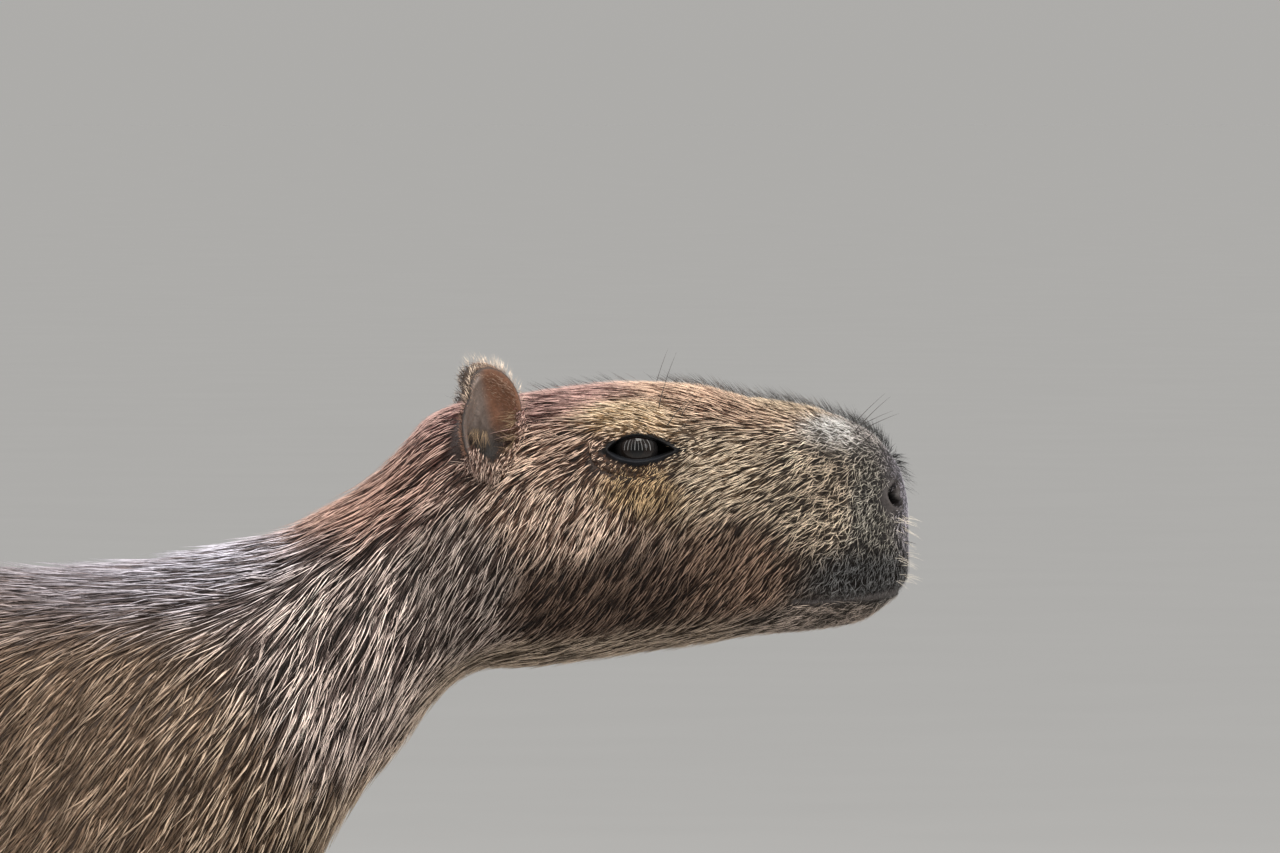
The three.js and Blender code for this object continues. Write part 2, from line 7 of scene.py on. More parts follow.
import json
import logging
import math
import sys
from collections.abc import Callable
from dataclasses import dataclass
from enum import Enum

import bpy
import numpy as np
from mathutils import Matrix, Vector

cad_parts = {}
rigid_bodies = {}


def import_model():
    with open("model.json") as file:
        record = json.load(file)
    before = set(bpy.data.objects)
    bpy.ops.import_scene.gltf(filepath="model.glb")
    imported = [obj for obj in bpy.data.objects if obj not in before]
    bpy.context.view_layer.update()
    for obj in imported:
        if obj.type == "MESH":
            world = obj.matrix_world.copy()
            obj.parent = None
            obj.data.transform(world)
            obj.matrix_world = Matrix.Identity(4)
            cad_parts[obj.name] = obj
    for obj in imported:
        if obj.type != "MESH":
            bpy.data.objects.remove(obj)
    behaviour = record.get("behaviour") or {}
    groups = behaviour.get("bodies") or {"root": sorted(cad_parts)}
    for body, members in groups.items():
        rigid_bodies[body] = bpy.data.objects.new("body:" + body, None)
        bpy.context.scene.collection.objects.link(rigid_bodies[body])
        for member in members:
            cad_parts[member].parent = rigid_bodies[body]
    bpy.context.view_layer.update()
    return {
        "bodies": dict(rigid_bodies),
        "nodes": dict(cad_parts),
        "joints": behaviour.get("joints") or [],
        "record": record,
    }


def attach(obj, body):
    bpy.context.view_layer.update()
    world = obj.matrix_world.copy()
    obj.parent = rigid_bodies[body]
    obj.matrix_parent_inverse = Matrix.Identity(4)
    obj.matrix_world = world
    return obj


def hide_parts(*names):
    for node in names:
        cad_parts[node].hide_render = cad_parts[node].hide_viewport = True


MM = 0.001
BODY = "root"
Array = np.ndarray
Triple = tuple[float, float, float]
log = logging.getLogger("capybara")


class Side(Enum):
    """The animal's two sides, each with the sign of its Y."""

    LEFT = 1
    RIGHT = -1


class Slot(Enum):
    """The finishes that the record names."""

    FACE = "face_coat"
    COAT = "coat"
    LEG = "leg_coat"
    EAR = "ear_skin"
    EYE = "eye"
    FOOT = "foot_skin"
    CLAW = "claw"
    BARE = "bare_skin"


# Curves and meshes shared by all the classes


def smooth_rows(places: Array, values: Array, at: Array) -> Array:
    """A cubic through rows of measures that never overshoots them.

    The slope at a row is the harmonic mean of the slopes on its two sides, and zero at a peak.

    Args:
        places: where the rows are.
        values: what is measured at them.
        at: the places to read, held inside the rows.

    Returns:
        The measure at each of those places.
    """
    order = np.argsort(places)
    x, y = np.asarray(places, float)[order], np.asarray(values, float)[order]
    slope = np.diff(y) / np.diff(x)
    product = slope[:-1] * slope[1:]
    inner = np.where(product > 0, 2 * product / np.where(product > 0, slope[:-1] + slope[1:], 1), 0)
    tangent = np.concatenate([slope[:1], inner, slope[-1:]])
    held = np.clip(at, x[0], x[-1])
    i = np.clip(np.searchsorted(x, held) - 1, 0, len(x) - 2)
    h = x[i + 1] - x[i]
    t = (held - x[i]) / h
    start = y[i] * (1 + 2 * t) * (1 - t) ** 2 + tangent[i] * h * t * (1 - t) ** 2
    end = y[i + 1] * t * t * (3 - 2 * t) + tangent[i + 1] * h * t * t * (t - 1)
    return start + end


def curve_through(points: Array, count: int, closed: bool = False) -> Array:
    """Curve through points: between two of them a cubic, whose slopes are half the step across each.

    Args:
        points: the points, one a row.
        count: how many points to return.
        closed: whether the curve runs back to its first point.

    Returns:
        Points evenly spread over the curve's parameter.
    """
    p = np.asarray(points, float)
    n = len(p)
    u = np.arange(count) * (n / count) if closed else np.linspace(0, n - 1, count)
    i = np.minimum(u.astype(int), n - 1 if closed else n - 2)
    t = (u - i)[:, None]
    pick = (lambda k: p[k % n]) if closed else (lambda k: p[np.clip(k, 0, n - 1)])
    a, b, c, d = pick(i - 1), pick(i), pick(i + 1), pick(i + 2)
    return 0.5 * (2 * b + (c - a) * t + (2 * a - 5 * b + 4 * c - d) * t**2 + (3 * b - a - 3 * c + d) * t**3)


def step(t: Array) -> Array:
    """A smooth step, 0 before t = 0 and 1 after t = 1."""
    s = np.clip(t, 0, 1)
    return s * s * (3 - 2 * s)


def bell(off: Array) -> Array:
    """A smooth bump: 1 at 0, and 0.37 at 1 on both sides."""
    return np.exp(-(off**2))


def full_turn(count: int) -> Array:
    """Angles spread evenly over a whole turn."""
    return np.linspace(0, 2 * np.pi, count, endpoint=False)


def unit(v: Array) -> Array:
    """Vectors of length one along the last axis."""
    return v / np.maximum(np.linalg.norm(v, axis=-1, keepdims=True), 1e-9)


def fold_side(points: Array) -> Array:
    """The points with those of the right side mirrored onto the left."""
    return points * np.where(points[..., 1:2] < 0, np.array([1, -1, 1]), 1)


def ripple(points: Array, span: float, seed: int) -> Array:
    """Smooth noise near -1 to 1: the sum of sine waves in random directions.

    Args:
        points: where it is read.
        span: about how long the waves are.
        seed: of their random draw.

    Returns:
        The noise at each point.
    """
    waves = 14
    rng = np.random.default_rng(seed)
    way = unit(rng.normal(size=(waves, 3))) * (2 * np.pi / span) * rng.uniform(0.6, 1.7, (waves, 1))
    return np.sin(points @ way.T + rng.uniform(0, 2 * np.pi, waves)).sum(-1) / math.sqrt(waves) * 0.9


def level_axes(line: Array) -> tuple[Array, Array]:
    """The unit vectors level across a line and up from it.

    Args:
        line: the line's points, one a row.

    Returns:
        The two vectors at each point.
    """
    forward = unit(np.gradient(line, axis=0))
    out = unit(np.cross(np.array([0.0, 0.0, 1.0]), forward))
    return out, np.cross(forward, out)


def tube_faces(rings: int, around: int) -> list[Array]:
    """Faces of a closed tube whose two end points follow its rings of points.

    Args:
        rings: how many rings the tube has.
        around: how many points a ring has.

    Returns:
        The quads between rings, and the triangles of the two ends.
    """
    r, k = np.meshgrid(np.arange(rings - 1), np.arange(around), indexing="ij")
    a, b = (r * around + k).ravel(), (r * around + (k + 1) % around).ravel()
    quads = np.stack([a, a + around, b + around, b], 1)
    one = np.arange(around)
    two = (one + 1) % around
    first, last = rings * around, (rings - 1) * around
    front = np.stack([np.full(around, first), one, two], 1)
    back = np.stack([np.full(around, first + 1), last + two, last + one], 1)
    return [quads, np.concatenate([front, back])]


def ring_faces(rings: int, around: int) -> list[Array]:
    """Quads of a surface that closes on itself both round a ring and from the last ring to the first.

    Args:
        rings: how many rings the surface has.
        around: how many points a ring has.

    Returns:
        One array of quads.
    """
    r, k = np.meshgrid(np.arange(rings), np.arange(around), indexing="ij")
    a, b = r * around + k, r * around + (k + 1) % around
    c, d = ((r + 1) % rings) * around + (k + 1) % around, ((r + 1) % rings) * around + k
    return [np.stack([a.ravel(), d.ravel(), c.ravel(), b.ravel()], 1)]


def closed_tube(rings: Array) -> tuple[Array, list[Array]]:
    """Points and faces of a tube of rings, (rings, around, 3), with a middle point at each end."""
    ends = np.stack([rings[0].mean(0), rings[-1].mean(0)])
    return np.concatenate([rings.reshape(-1, 3), ends]), tube_faces(len(rings), rings.shape[1])


def outward(points: Array, faces: list[Array]) -> list[Array]:
    """Turns the faces of a closed surface outwards, where the tetrahedra to its middle have a positive sum.

    Args:
        points: the surface's points.
        faces: arrays of point numbers, one face a row.

    Returns:
        The faces, all turned round if they pointed in.
    """
    volume = 0.0
    off = points - points.mean(0)
    for group in faces:
        for k in range(1, group.shape[1] - 1):
            a, b, c = off[group[:, 0]], off[group[:, k]], off[group[:, k + 1]]
            volume += float(np.einsum("ij,ij->i", a, np.cross(b, c)).sum())
    return faces if volume > 0 else [group[:, ::-1] for group in faces]


def new_cloud(name: str, points: Array) -> bpy.types.Object:
    """An object at the origin that has points, given in millimetres, and no faces yet.

    Args:
        name: the piece's name.
        points: its points.

    Returns:
        The object, linked to the scene.
    """
    mesh = bpy.data.meshes.new(name)
    mesh.vertices.add(len(points))
    piece = bpy.data.objects.new(name, mesh)
    set_points(piece, points)
    bpy.context.scene.collection.objects.link(piece)
    return piece


def new_piece(name: str, points: Array, faces: list[Array]) -> bpy.types.Object:
    """A smooth-shaded mesh object at the origin.

    Args:
        name: the piece's name.
        points: its points in millimetres.
        faces: arrays of point numbers, one face a row.

    Returns:
        The object, linked to the scene.
    """
    piece = new_cloud(name, points)
    mesh = piece.data
    corners = np.concatenate([group.ravel() for group in faces]).astype(np.int32)
    sizes = np.concatenate([np.full(len(group), group.shape[1]) for group in faces])
    starts = np.concatenate([[0], np.cumsum(sizes)[:-1]]).astype(np.int32)
    mesh.loops.add(len(corners))
    mesh.loops.foreach_set("vertex_index", corners)
    mesh.polygons.add(len(sizes))
    mesh.polygons.foreach_set("loop_start", starts)
    mesh.polygons.foreach_set("use_smooth", np.ones(len(sizes), bool))
    mesh.update(calc_edges=True)
    return piece


def closed_piece(name: str, points: Array, faces: list[Array]) -> bpy.types.Object:
    """A piece from a closed surface, with its faces turned outwards."""
    return new_piece(name, points, outward(points, faces))


def read_rows(items: bpy.types.bpy_prop_collection, key: str, kind: type, width: int) -> Array:
    """One row of numbers for each item of a mesh.

    Args:
        items: the mesh's points, edges, corners or triangles.
        key: the name of what is read.
        kind: the type of the numbers.
        width: how many numbers a row has.

    Returns:
        The rows.
    """
    out = np.empty(len(items) * width, kind)
    items.foreach_get(key, out)
    return out.reshape(-1, width)


def points_of(piece: bpy.types.Object) -> Array:
    """A piece's points in millimetres."""
    return read_rows(piece.data.vertices, "co", np.float32, 3).astype(float) / MM


def set_points(piece: bpy.types.Object, points: Array) -> None:
    """Moves a piece's points, given in millimetres."""
    piece.data.vertices.foreach_set("co", (points * MM).astype(np.float32).ravel())
    piece.data.update()


def normals_of(piece: bpy.types.Object) -> Array:
    """The unit normals at a piece's points."""
    return unit(read_rows(piece.data.vertices, "normal", np.float32, 3).astype(float))


def edges_of(piece: bpy.types.Object) -> Array:
    """A piece's edges as pairs of point numbers."""
    return read_rows(piece.data.edges, "vertices", np.int32, 2)


def triangles_of(piece: bpy.types.Object) -> Array:
    """The piece's triangles as point numbers, three a row."""
    piece.data.calc_loop_triangles()
    return read_rows(piece.data.loop_triangles, "vertices", np.int32, 3)


def apply_modifiers(piece: bpy.types.Object) -> None:
    """Turns a piece's modifiers into its mesh.

    Args:
        piece: the piece, whose old mesh is removed.
    """
    graph = bpy.context.evaluated_depsgraph_get()
    made = bpy.data.meshes.new_from_object(piece.evaluated_get(graph))
    piece.modifiers.clear()
    old = piece.data
    piece.data = made
    bpy.data.meshes.remove(old)


def paint(piece: bpy.types.Object, colours: Array) -> None:
    """Writes the attribute tone, which the materials read.

    Args:
        piece: the piece to colour.
        colours: one linear colour a point.
    """
    layer = piece.data.color_attributes.new("tone", "FLOAT_COLOR", "POINT")
    full = np.concatenate([np.clip(colours, 0, 1), np.ones((len(colours), 1))], 1)
    layer.data.foreach_set("color", full.astype(np.float32).ravel())


def unwrap(piece: bpy.types.Object, uv: Array) -> None:
    """Writes the UV map OFBake.

    Args:
        piece: the piece that gets it.
        uv: one pair a point, which all the corners at that point take.
    """
    corners = read_rows(piece.data.loops, "vertex_index", np.int32, 1)[:, 0]
    layer = piece.data.uv_layers.new(name="OFBake")
    layer.data.foreach_set("uv", uv[corners].astype(np.float32).ravel())


def place_piece(piece: bpy.types.Object, slot: Slot, material: bpy.types.Material, *nodes: str) -> None:
    """Gives a piece its finish, and lets it ride on the body.

    Args:
        piece: the finished piece.
        slot: the record's name for its finish.
        material: the finish itself.
        nodes: the solids that the piece stands for, if any.
    """
    piece.data.materials.clear()
    piece.data.materials.append(material)
    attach(piece, BODY)
    if nodes:
        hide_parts(*nodes)
    log.info("%s: %d triangles", piece.name, len(triangles_of(piece)))


def relax(points: Array, edges: Array, weight: Array, rounds: int) -> Array:
    """Draws points towards the mean of their neighbours.

    Args:
        points: the points, one a row.
        edges: pairs of point numbers.
        weight: the share of the way that each point goes in a round.
        rounds: how many rounds.

    Returns:
        The points after the last round.
    """
    a, b = edges[:, 0], edges[:, 1]
    n = len(points)
    count = np.maximum(np.bincount(a, minlength=n) + np.bincount(b, minlength=n), 1)[:, None]
    co = points.copy()
    for _ in range(rounds):
        sums = [np.bincount(a, co[b, k], n) + np.bincount(b, co[a, k], n) for k in range(3)]
        co += weight[:, None] * (np.stack(sums, 1) / count - co)
    return co


# The body's form, from the same measures as the solids


@dataclass(frozen=True)
class Form:
    """A soft push of the surface: push times exp(-sum(((p - at) / reach)^2)), mirrored in Y."""

    at: Triple
    reach: Triple
    push: Triple


def push_forms(points: Array, forms: tuple[Form, ...]) -> Array:
    """Pushes points by every form, each share read at the points' first place.

    Args:
        points: the points, with x, y and z along the last axis.
        forms: the pushes.

    Returns:
        The moved points.
    """
    side = np.where(points[..., 1] < 0, -1.0, 1.0)
    folded = points * np.stack([np.ones_like(side), side, np.ones_like(side)], -1)
    moved = folded.copy()
    for form in forms:
        off = (((folded - np.array(form.at)) / np.array(form.reach)) ** 2).sum(-1)
        moved += np.exp(-off)[..., None] * np.array(form.push)
    moved[..., 1] *= side
    return moved


@dataclass(frozen=True)
class Cap:
    """How an end of the trunk closes: sizes shrink by (1 - s^p)^(1/p) from start to end."""

    start: float
    end: float
    pole_z: float
    above: float
    below: float
    across: float

    def share(self, x: Array, power: float) -> Array:
        """The share of the size that is left at x."""
        s = np.clip((x - self.start) / (self.end - self.start), 0, 1)
        return (1 - s**power) ** (1 / power)


@dataclass
class Trunk:
    """The head, neck and torso as one surface of (x, angle).

    At each x the section is a superellipse: (|y| / half)^p + (|z - middle| / high)^p = 1, with its own
    power above and below the middle, pushed by the forms.
    """

    # x, top, bottom, half width, middle as a share, power above, power below
    rows: tuple[tuple[float, ...], ...] = (
        (537.5, 587, 487, 44, 0.48, 2.7, 2.9),
        (518.5, 592, 484, 47, 0.46, 2.7, 2.9),
        (496.5, 598, 481, 49, 0.44, 2.7, 2.9),
        (472.5, 605, 478, 51, 0.42, 2.7, 2.8),
        (441.5, 611.5, 474, 54, 0.40, 2.8, 2.7),
        (419.5, 617, 470, 58, 0.39, 2.9, 2.6),
        (382.5, 619, 465, 63.5, 0.38, 3.0, 2.5),
        (339.5, 615, 459, 70, 0.38, 2.8, 2.4),
        (303.5, 609, 454, 73, 0.40, 2.5, 2.3),
        (284.5, 606.5, 443, 74, 0.42, 2.4, 2.2),
        (264.5, 596, 424, 77, 0.44, 2.2, 2.2),
        (240.5, 570, 395, 83, 0.45, 2.1, 2.2),
        (212.5, 552, 354, 92, 0.46, 2.1, 2.2),
        (182.5, 537, 304, 103, 0.47, 2.1, 2.2),
        (152.5, 531, 258, 112, 0.48, 2.1, 2.2),
        (122.5, 527, 226, 120, 0.48, 2.1, 2.2),
        (82.5, 522, 208, 127, 0.47, 2.1, 2.3),
        (22.5, 520, 197, 135, 0.46, 2.1, 2.3),
        (-65.5, 525, 186, 146, 0.44, 2.1, 2.3),
        (-162.5, 536, 181, 153, 0.43, 2.1, 2.3),
        (-259.5, 541, 189, 150, 0.44, 2.1, 2.2),
        (-348.0, 535, 214, 141, 0.46, 2.1, 2.2),
        (-418.5, 519, 246, 130, 0.48, 2.1, 2.2),
        (-537.5, 480, 292, 116, 0.50, 2.1, 2.2),
    )
    nose: Cap = Cap(492.5, 537.5, 536, 2.9, 4.2, 3.4)
    rump: Cap = Cap(-410, -537.5, 388, 2.2, 2.4, 2.2)
    forms: tuple[Form, ...] = (
        Form((380, 54, 603), (28, 14, 11), (0, 3, 2.5)),  # brow
        Form((364, 64, 556), (42, 22, 18), (0, 3, 0)),  # cheek bone
        Form((325, 72, 508), (44, 30, 38), (0, 4.5, -1)),  # jaw muscle
        Form((428, 54, 572), (24, 18, 20), (0, -2.5, 0)),  # hollow before the eye
        Form((508, 48, 524), (26, 24, 18), (1, 3.5, 0)),  # lip pad
        Form((452, 54, 508), (24, 22, 18), (0, -2, 0)),  # hollow of the cheek
        Form((527, 36, 557), (11, 13, 14), (2, 3, 0)),  # nostril wing
        Form((537.5, 0, 566), (14, 9, 20), (-2.5, 0, 0)),  # dip between the nostrils
        Form((488, 0, 602), (26, 20, 14), (0, 0, 2.5)),  # snout gland
        Form((542, 0, 482), (24, 70, 15), (-11, 0, 2)),  # chin set back
        Form((287, 0, 442), (26, 60, 26), (0, 0, 7)),  # throat
        Form((127, 112, 410), (62, 46, 88), (0, 9, 0)),  # shoulder blade
        Form((22, 130, 380), (34, 50, 110), (0, -7, 0)),  # hollow behind the shoulder
        Form((-251, 145, 340), (42, 50, 100), (0, -8, 0)),  # hollow before the thigh
        Form((-383, 130, 370), (90, 50, 100), (0, 10, 0)),  # thigh
        Form((-546, 0, 400), (40, 16, 90), (9, 0, 0)),  # cleft of the rump
    )

    def sizes(self, x: Array) -> tuple[Array, ...]:
        """The section at x, with the ends drawn in by their caps.

        Args:
            x: places along the body.

        Returns:
            Half width, middle, reach up, reach down, and the powers above and below.
        """
        table = np.array(self.rows)
        top, bottom, half, level, up_power, low_power = (
            smooth_rows(table[:, 0], table[:, k], x) for k in range(1, 7)
        )
        nose, rump, front = self.nose, self.rump, x > 0
        above, below, across = (
            np.where(front, nose.share(x, getattr(nose, key)), rump.share(x, getattr(rump, key)))
            for key in ("above", "below", "across")
        )
        pole = np.where(front, nose.pole_z, rump.pole_z)
        top = pole + (top - pole) * above
        bottom = pole + (bottom - pole) * below
        middle = bottom + level * (top - bottom)
        small = 1e-6
        up, down = np.maximum(top - middle, small), np.maximum(middle - bottom, small)
        return np.maximum(half * across, small), middle, up, down, up_power, low_power

    def surface(self, x: Array, angle: Array) -> Array:
        """The trunk's surface as a function of x and an angle round the section.

        Args:
            x: places along the body.
            angle: angles from +Y towards +Z.

        Returns:
            The points, after the forms' push.
        """
        half, middle, up, down, up_power, low_power = self.sizes(x)
        c, s = np.cos(angle), np.sin(angle)
        power = np.where(s >= 0, up_power, low_power)
        high = np.where(s >= 0, up, down)
        reach = (np.abs(c / half) ** power + np.abs(s / high) ** power) ** (-1 / power)
        return push_forms(np.stack(np.broadcast_arrays(x, reach * c, middle + reach * s), -1), self.forms)

    def flank(self, x: Array, z: Array) -> Array:
        """Reads the left side over places (x, z), by undoing the forms' push in x and z in a few rounds.

        Args:
            x: places along the body.
            z: their heights.

        Returns:
            The Y of the surface there.
        """
        at_x, at_z = np.array(x, float), np.array(z, float)
        for _ in range(5):
            half, middle, up, down, up_power, low_power = self.sizes(at_x)
            power = np.where(at_z > middle, up_power, low_power)
            high = np.where(at_z > middle, up, down)
            share = np.minimum(np.abs(at_z - middle) / high, 0.999)
            raw = np.stack([at_x, half * (1 - share**power) ** (1 / power), at_z], -1)
            moved = push_forms(raw, self.forms)
            at_x = at_x + x - moved[..., 0]
            at_z = at_z + z - moved[..., 2]
        return moved[..., 1]

    def outside(self, points: Array) -> Array:
        """About how far points lie outside the section at their x.

        Args:
            points: places near the trunk.

        Returns:
            The distance in millimetres, negative inside.
        """
        half, middle, up, down, up_power, low_power = self.sizes(points[:, 0])
        over = points[:, 2] >= middle
        power = np.where(over, up_power, low_power)
        high = np.where(over, up, down)
        y, z = np.abs(points[:, 1]), np.abs(points[:, 2] - middle)
        value = ((y / half) ** power + (z / high) ** power) ** (1 / power)
        return (value - 1) * np.minimum(np.hypot(y, z) / np.maximum(value, 0.2), np.hypot(half, high))


@dataclass(frozen=True)
class Toe:
    """A toe: how far it lies from the foot's line, its fan in degrees, and its length and radii."""

    across: float
    fan: float
    length: float
    root: float
    tip: float


@dataclass(frozen=True)
class FootPlan:
    """The sizes of a foot; pad rows are x, top and half width."""

    ball_x: float
    y: float
    toe_root_z: float
    toe_tip_z: float
    claw: float
    claw_radius: float
    pad: tuple[Triple, ...]
    toes: tuple[Toe, ...]


FORE_FOOT = FootPlan(
    ball_x=118, y=88, toe_root_z=18, toe_tip_z=13, claw=19, claw_radius=8,
    pad=((79, 26, 13), (85, 38, 22), (102, 50, 30), (122, 43, 35), (140, 30, 37), (153, 19, 36)),
    toes=(
        Toe(-23, -17, 38, 13.5, 12), Toe(-8, -5, 49, 14.5, 13),
        Toe(8, 6, 47, 14.5, 13), Toe(23, 19, 35, 13, 11.5),
    ),
)
HIND_FOOT = FootPlan(
    ball_x=-384, y=100, toe_root_z=21, toe_tip_z=15.5, claw=24, claw_radius=10,
    pad=((-437, 22, 12), (-429, 34, 22), (-408, 52, 31), (-384, 45, 37), (-360, 32, 40), (-342, 20, 38)),
    toes=(Toe(-23, -12, 53, 16.5, 14.5), Toe(0, 0, 67, 18, 15.5), Toe(23, 13, 50, 16.5, 14.5)),
)
# z, x, y, radius along, radius across
FORE_ROWS = (
    (342, 114, 70, 40, 26), (320, 112, 76, 57, 41), (280, 106, 83, 62, 46), (242, 96, 87, 55, 42),
    (208, 89, 89, 43, 35), (166.5, 90, 89, 37, 32), (126, 94, 88, 31, 28), (88, 99, 88, 28, 27),
    (63, 103, 88, 27, 28), (36, 109, 88, 27, 29), (-6, 114, 88, 28, 30),
)
HIND_ROWS = (
    (432, -380, 70, 60, 34), (410, -381, 78, 86, 52), (360, -380, 86, 101, 64), (310, -372, 93, 102, 65),
    (265, -366, 97, 90, 58), (223, -372, 99, 70, 48), (183, -392, 100, 54, 40), (148.5, -416, 100, 41, 33),
    (117, -434, 100, 35, 29), (88, -432, 100, 29, 27), (59.5, -417, 100, 28, 28), (34, -402, 100, 29, 30),
    (-6, -392, 100, 32, 32),
)
LEG_FORMS = (
    Form((70, 92, 226), (22, 30, 24), (-4, 1, 0)),  # elbow
    Form((104, 92, 74), (16, 26, 14), (2, 2.5, 0)),  # wrist
    Form((-462, 100, 112), (16, 24, 20), (-4, 0, 0)),  # hock
    Form((-318, 112, 268), (30, 30, 30), (5, 2, 0)),  # knee
    Form((-448, 100, 168), (18, 14, 34), (-2, -3, 0)),  # cord above the hock
)


@dataclass
class Limb:
    """One leg with its foot, as tubes that a fine voxel mesh melts together.

    Slack moves the whole foot ahead or back, and the leg above it less and less up to its root.
    """

    name: str
    side: Side
    rows: tuple[tuple[float, ...], ...]
    foot: FootPlan
    slack: float
    coat_depth: tuple[float, float] = (5.0, 1.2)
    knuckle_at: float = 0.42
    web_share: float = 0.44
    voxel: float = 4.3

    def axis(self, z: Array) -> tuple[Array, ...]:
        """The leg's middle line and radii.

        Args:
            z: heights.

        Returns:
            The middle's x and y, and the radii along and across.
        """
        table = np.array(self.rows)
        x, y, along, across = (smooth_rows(table[:, 0], table[:, k], z) for k in range(1, 5))
        return x + self.slack * (1 - np.clip(z, 0, None) / table[0, 0]), y * self.side.value, along, across

    def outside(self, points: Array) -> Array:
        """About how far points lie outside the leg's section at their height.

        Args:
            points: places near the leg.

        Returns:
            The distance in millimetres, negative inside.
        """
        x, y, along, across = self.axis(points[:, 2])
        value = np.hypot((points[:, 0] - x) / along, (points[:, 1] - y) / across)
        above = np.maximum(points[:, 2] - self.rows[0][0], 0)
        return (value - 1) * np.minimum(along, across) + above

    def shank(self) -> tuple[Array, list[Array]]:
        """The leg as a function of height and angle: an ellipse at each height, less the coat's depth.

        Returns:
            Its points and faces.
        """
        z = np.linspace(self.rows[0][0], self.rows[-1][0], 60)[:, None]
        angle = full_turn(40)[None, :]
        x, y, along, across = self.axis(z)
        thick, thin = self.coat_depth
        depth = thin + (thick - thin) * step((z - 60) / 200)
        ahead = x + (along - depth) * np.cos(angle)
        aside = y + (across - depth) * np.sin(angle) * self.side.value
        rings = np.stack(np.broadcast_arrays(ahead, aside, z), -1)
        shift = np.array([self.slack * 0.7, 0, 0])
        return closed_tube(push_forms(rings - shift, LEG_FORMS) + shift)

    def toe_line(self, toe: Toe, reach: Array, z: Array) -> Array:
        """Points along a toe.

        Args:
            toe: the toe.
            reach: how far they are from its root.
            z: their heights.

        Returns:
            The points, one a row.
        """
        fan = math.radians(toe.fan)
        x = self.foot.ball_x + self.slack + reach * math.cos(fan)
        y = self.side.value * (self.foot.y + toe.across + reach * math.sin(fan))
        return np.stack(np.broadcast_arrays(x, y, z), -1)

    def sweep(self, line: Array, across: Array, high: Array, sides: int) -> tuple[Array, list[Array]]:
        """A tube of ellipses along a line.

        Args:
            line: the line's points.
            across: the half width at each.
            high: the half height at each.
            sides: how many points an ellipse has.

        Returns:
            The tube's points and faces.
        """
        out, up = level_axes(line)
        angle = full_turn(sides)[None, :, None]
        rings = line[:, None] + across[:, None, None] * np.cos(angle) * out[:, None]
        return closed_tube(rings + high[:, None, None] * np.sin(angle) * up[:, None])

    def toe(self, toe: Toe) -> tuple[Array, list[Array]]:
        """A toe that arches down to its tip, with a knuckle under half of the way along.

        Args:
            toe: its sizes.

        Returns:
            Its points and faces.
        """
        s = np.linspace(0, 1, 22)
        knots = np.linspace(0, 1, 5)
        reach = smooth_rows(knots, np.array([-0.1, 0.35, 0.68, 0.9, 1.0]), s)
        drop = smooth_rows(knots, np.array([1, 0.98, 0.62, 0.2, 0.0]), s)
        wide = smooth_rows(knots, np.array([0.86, 0.94, 0.84, 0.88, 0.5]), s)
        knuckle = 1 + 0.07 * bell((reach - self.knuckle_at) / 0.1)
        knuckle -= 0.06 * bell((reach - 0.66) / 0.07)
        size = wide * knuckle * (toe.root + (toe.tip - toe.root) * np.minimum(s / 0.75, 1))
        z = self.foot.toe_tip_z + (self.foot.toe_root_z - self.foot.toe_tip_z) * drop
        return self.sweep(self.toe_line(toe, reach * toe.length, z), size, size * 0.96, 20)

    def web(self, one: Toe, two: Toe) -> tuple[Array, list[Array]]:
        """The low skin between two toes, out to a share of the shorter one.

        Args:
            one: the toe on one side.
            two: the toe on the other.

        Returns:
            Its points and faces.
        """
        s = np.linspace(0, 1, 10)
        reach = s * self.web_share * min(one.length, two.length)
        height = 9 - 3.5 * s
        near, far = self.toe_line(one, reach, height), self.toe_line(two, reach, height)
        gap = np.abs(near[:, 1] - far[:, 1])
        return self.sweep((near + far) / 2, gap * 0.42 + 2, 7.5 - 3 * s, 14)

    def pad(self) -> tuple[Array, list[Array]]:
        """The foot behind the toes: rounded sections from the heel to the ball.

        Returns:
            Its points and faces.
        """
        rows = np.array(self.foot.pad)
        x = np.linspace(rows[0, 0], rows[-1, 0], 26)[:, None]
        top = smooth_rows(rows[:, 0], rows[:, 1], x)
        half = smooth_rows(rows[:, 0], rows[:, 2], x)
        angle = full_turn(28)[None, :]
        z = top / 2 + (top / 2 + 1.5) * np.sin(angle)
        y = self.side.value * self.foot.y + (half - 1) * np.cos(angle)
        return closed_tube(np.stack(np.broadcast_arrays(x + self.slack, y, z), -1))

    def build(self) -> bpy.types.Object:
        """Melts the tubes together.

        Returns:
            The whole limb as one closed mesh that stands flat on the floor.
        """
        toes = self.foot.toes
        parts = [self.shank(), self.pad(), *(self.toe(toe) for toe in toes)]
        parts += [self.web(one, two) for one, two in zip(toes[:-1], toes[1:])]
        points, faces, first = [], [], 0
        for part_points, part_faces in parts:
            points.append(part_points)
            faces += [group + first for group in outward(part_points, part_faces)]
            first += len(part_points)
        limb = new_piece(self.name, np.concatenate(points), faces)
        melt = limb.modifiers.new("melt", "REMESH")
        melt.mode = "VOXEL"
        melt.voxel_size = self.voxel * MM
        melt.use_smooth_shade = True
        apply_modifiers(limb)
        co = relax(points_of(limb), edges_of(limb), np.full(len(limb.data.vertices), 0.5), 5)
        co[:, 2] = np.maximum(co[:, 2], 0)
        set_points(limb, co)
        return limb


# The coat's lie, size and colours, mixed by nearness to named places


@dataclass(frozen=True)
class CoatPlace:
    """How the coat grows round one place. Lie's Y points away from the middle; colours are linear."""

    at: Triple
    reach: Triple
    lie: Triple
    length: float
    width: float
    lift: float
    cover: float
    depth: float
    dark: Triple
    mid: Triple
    pale: Triple


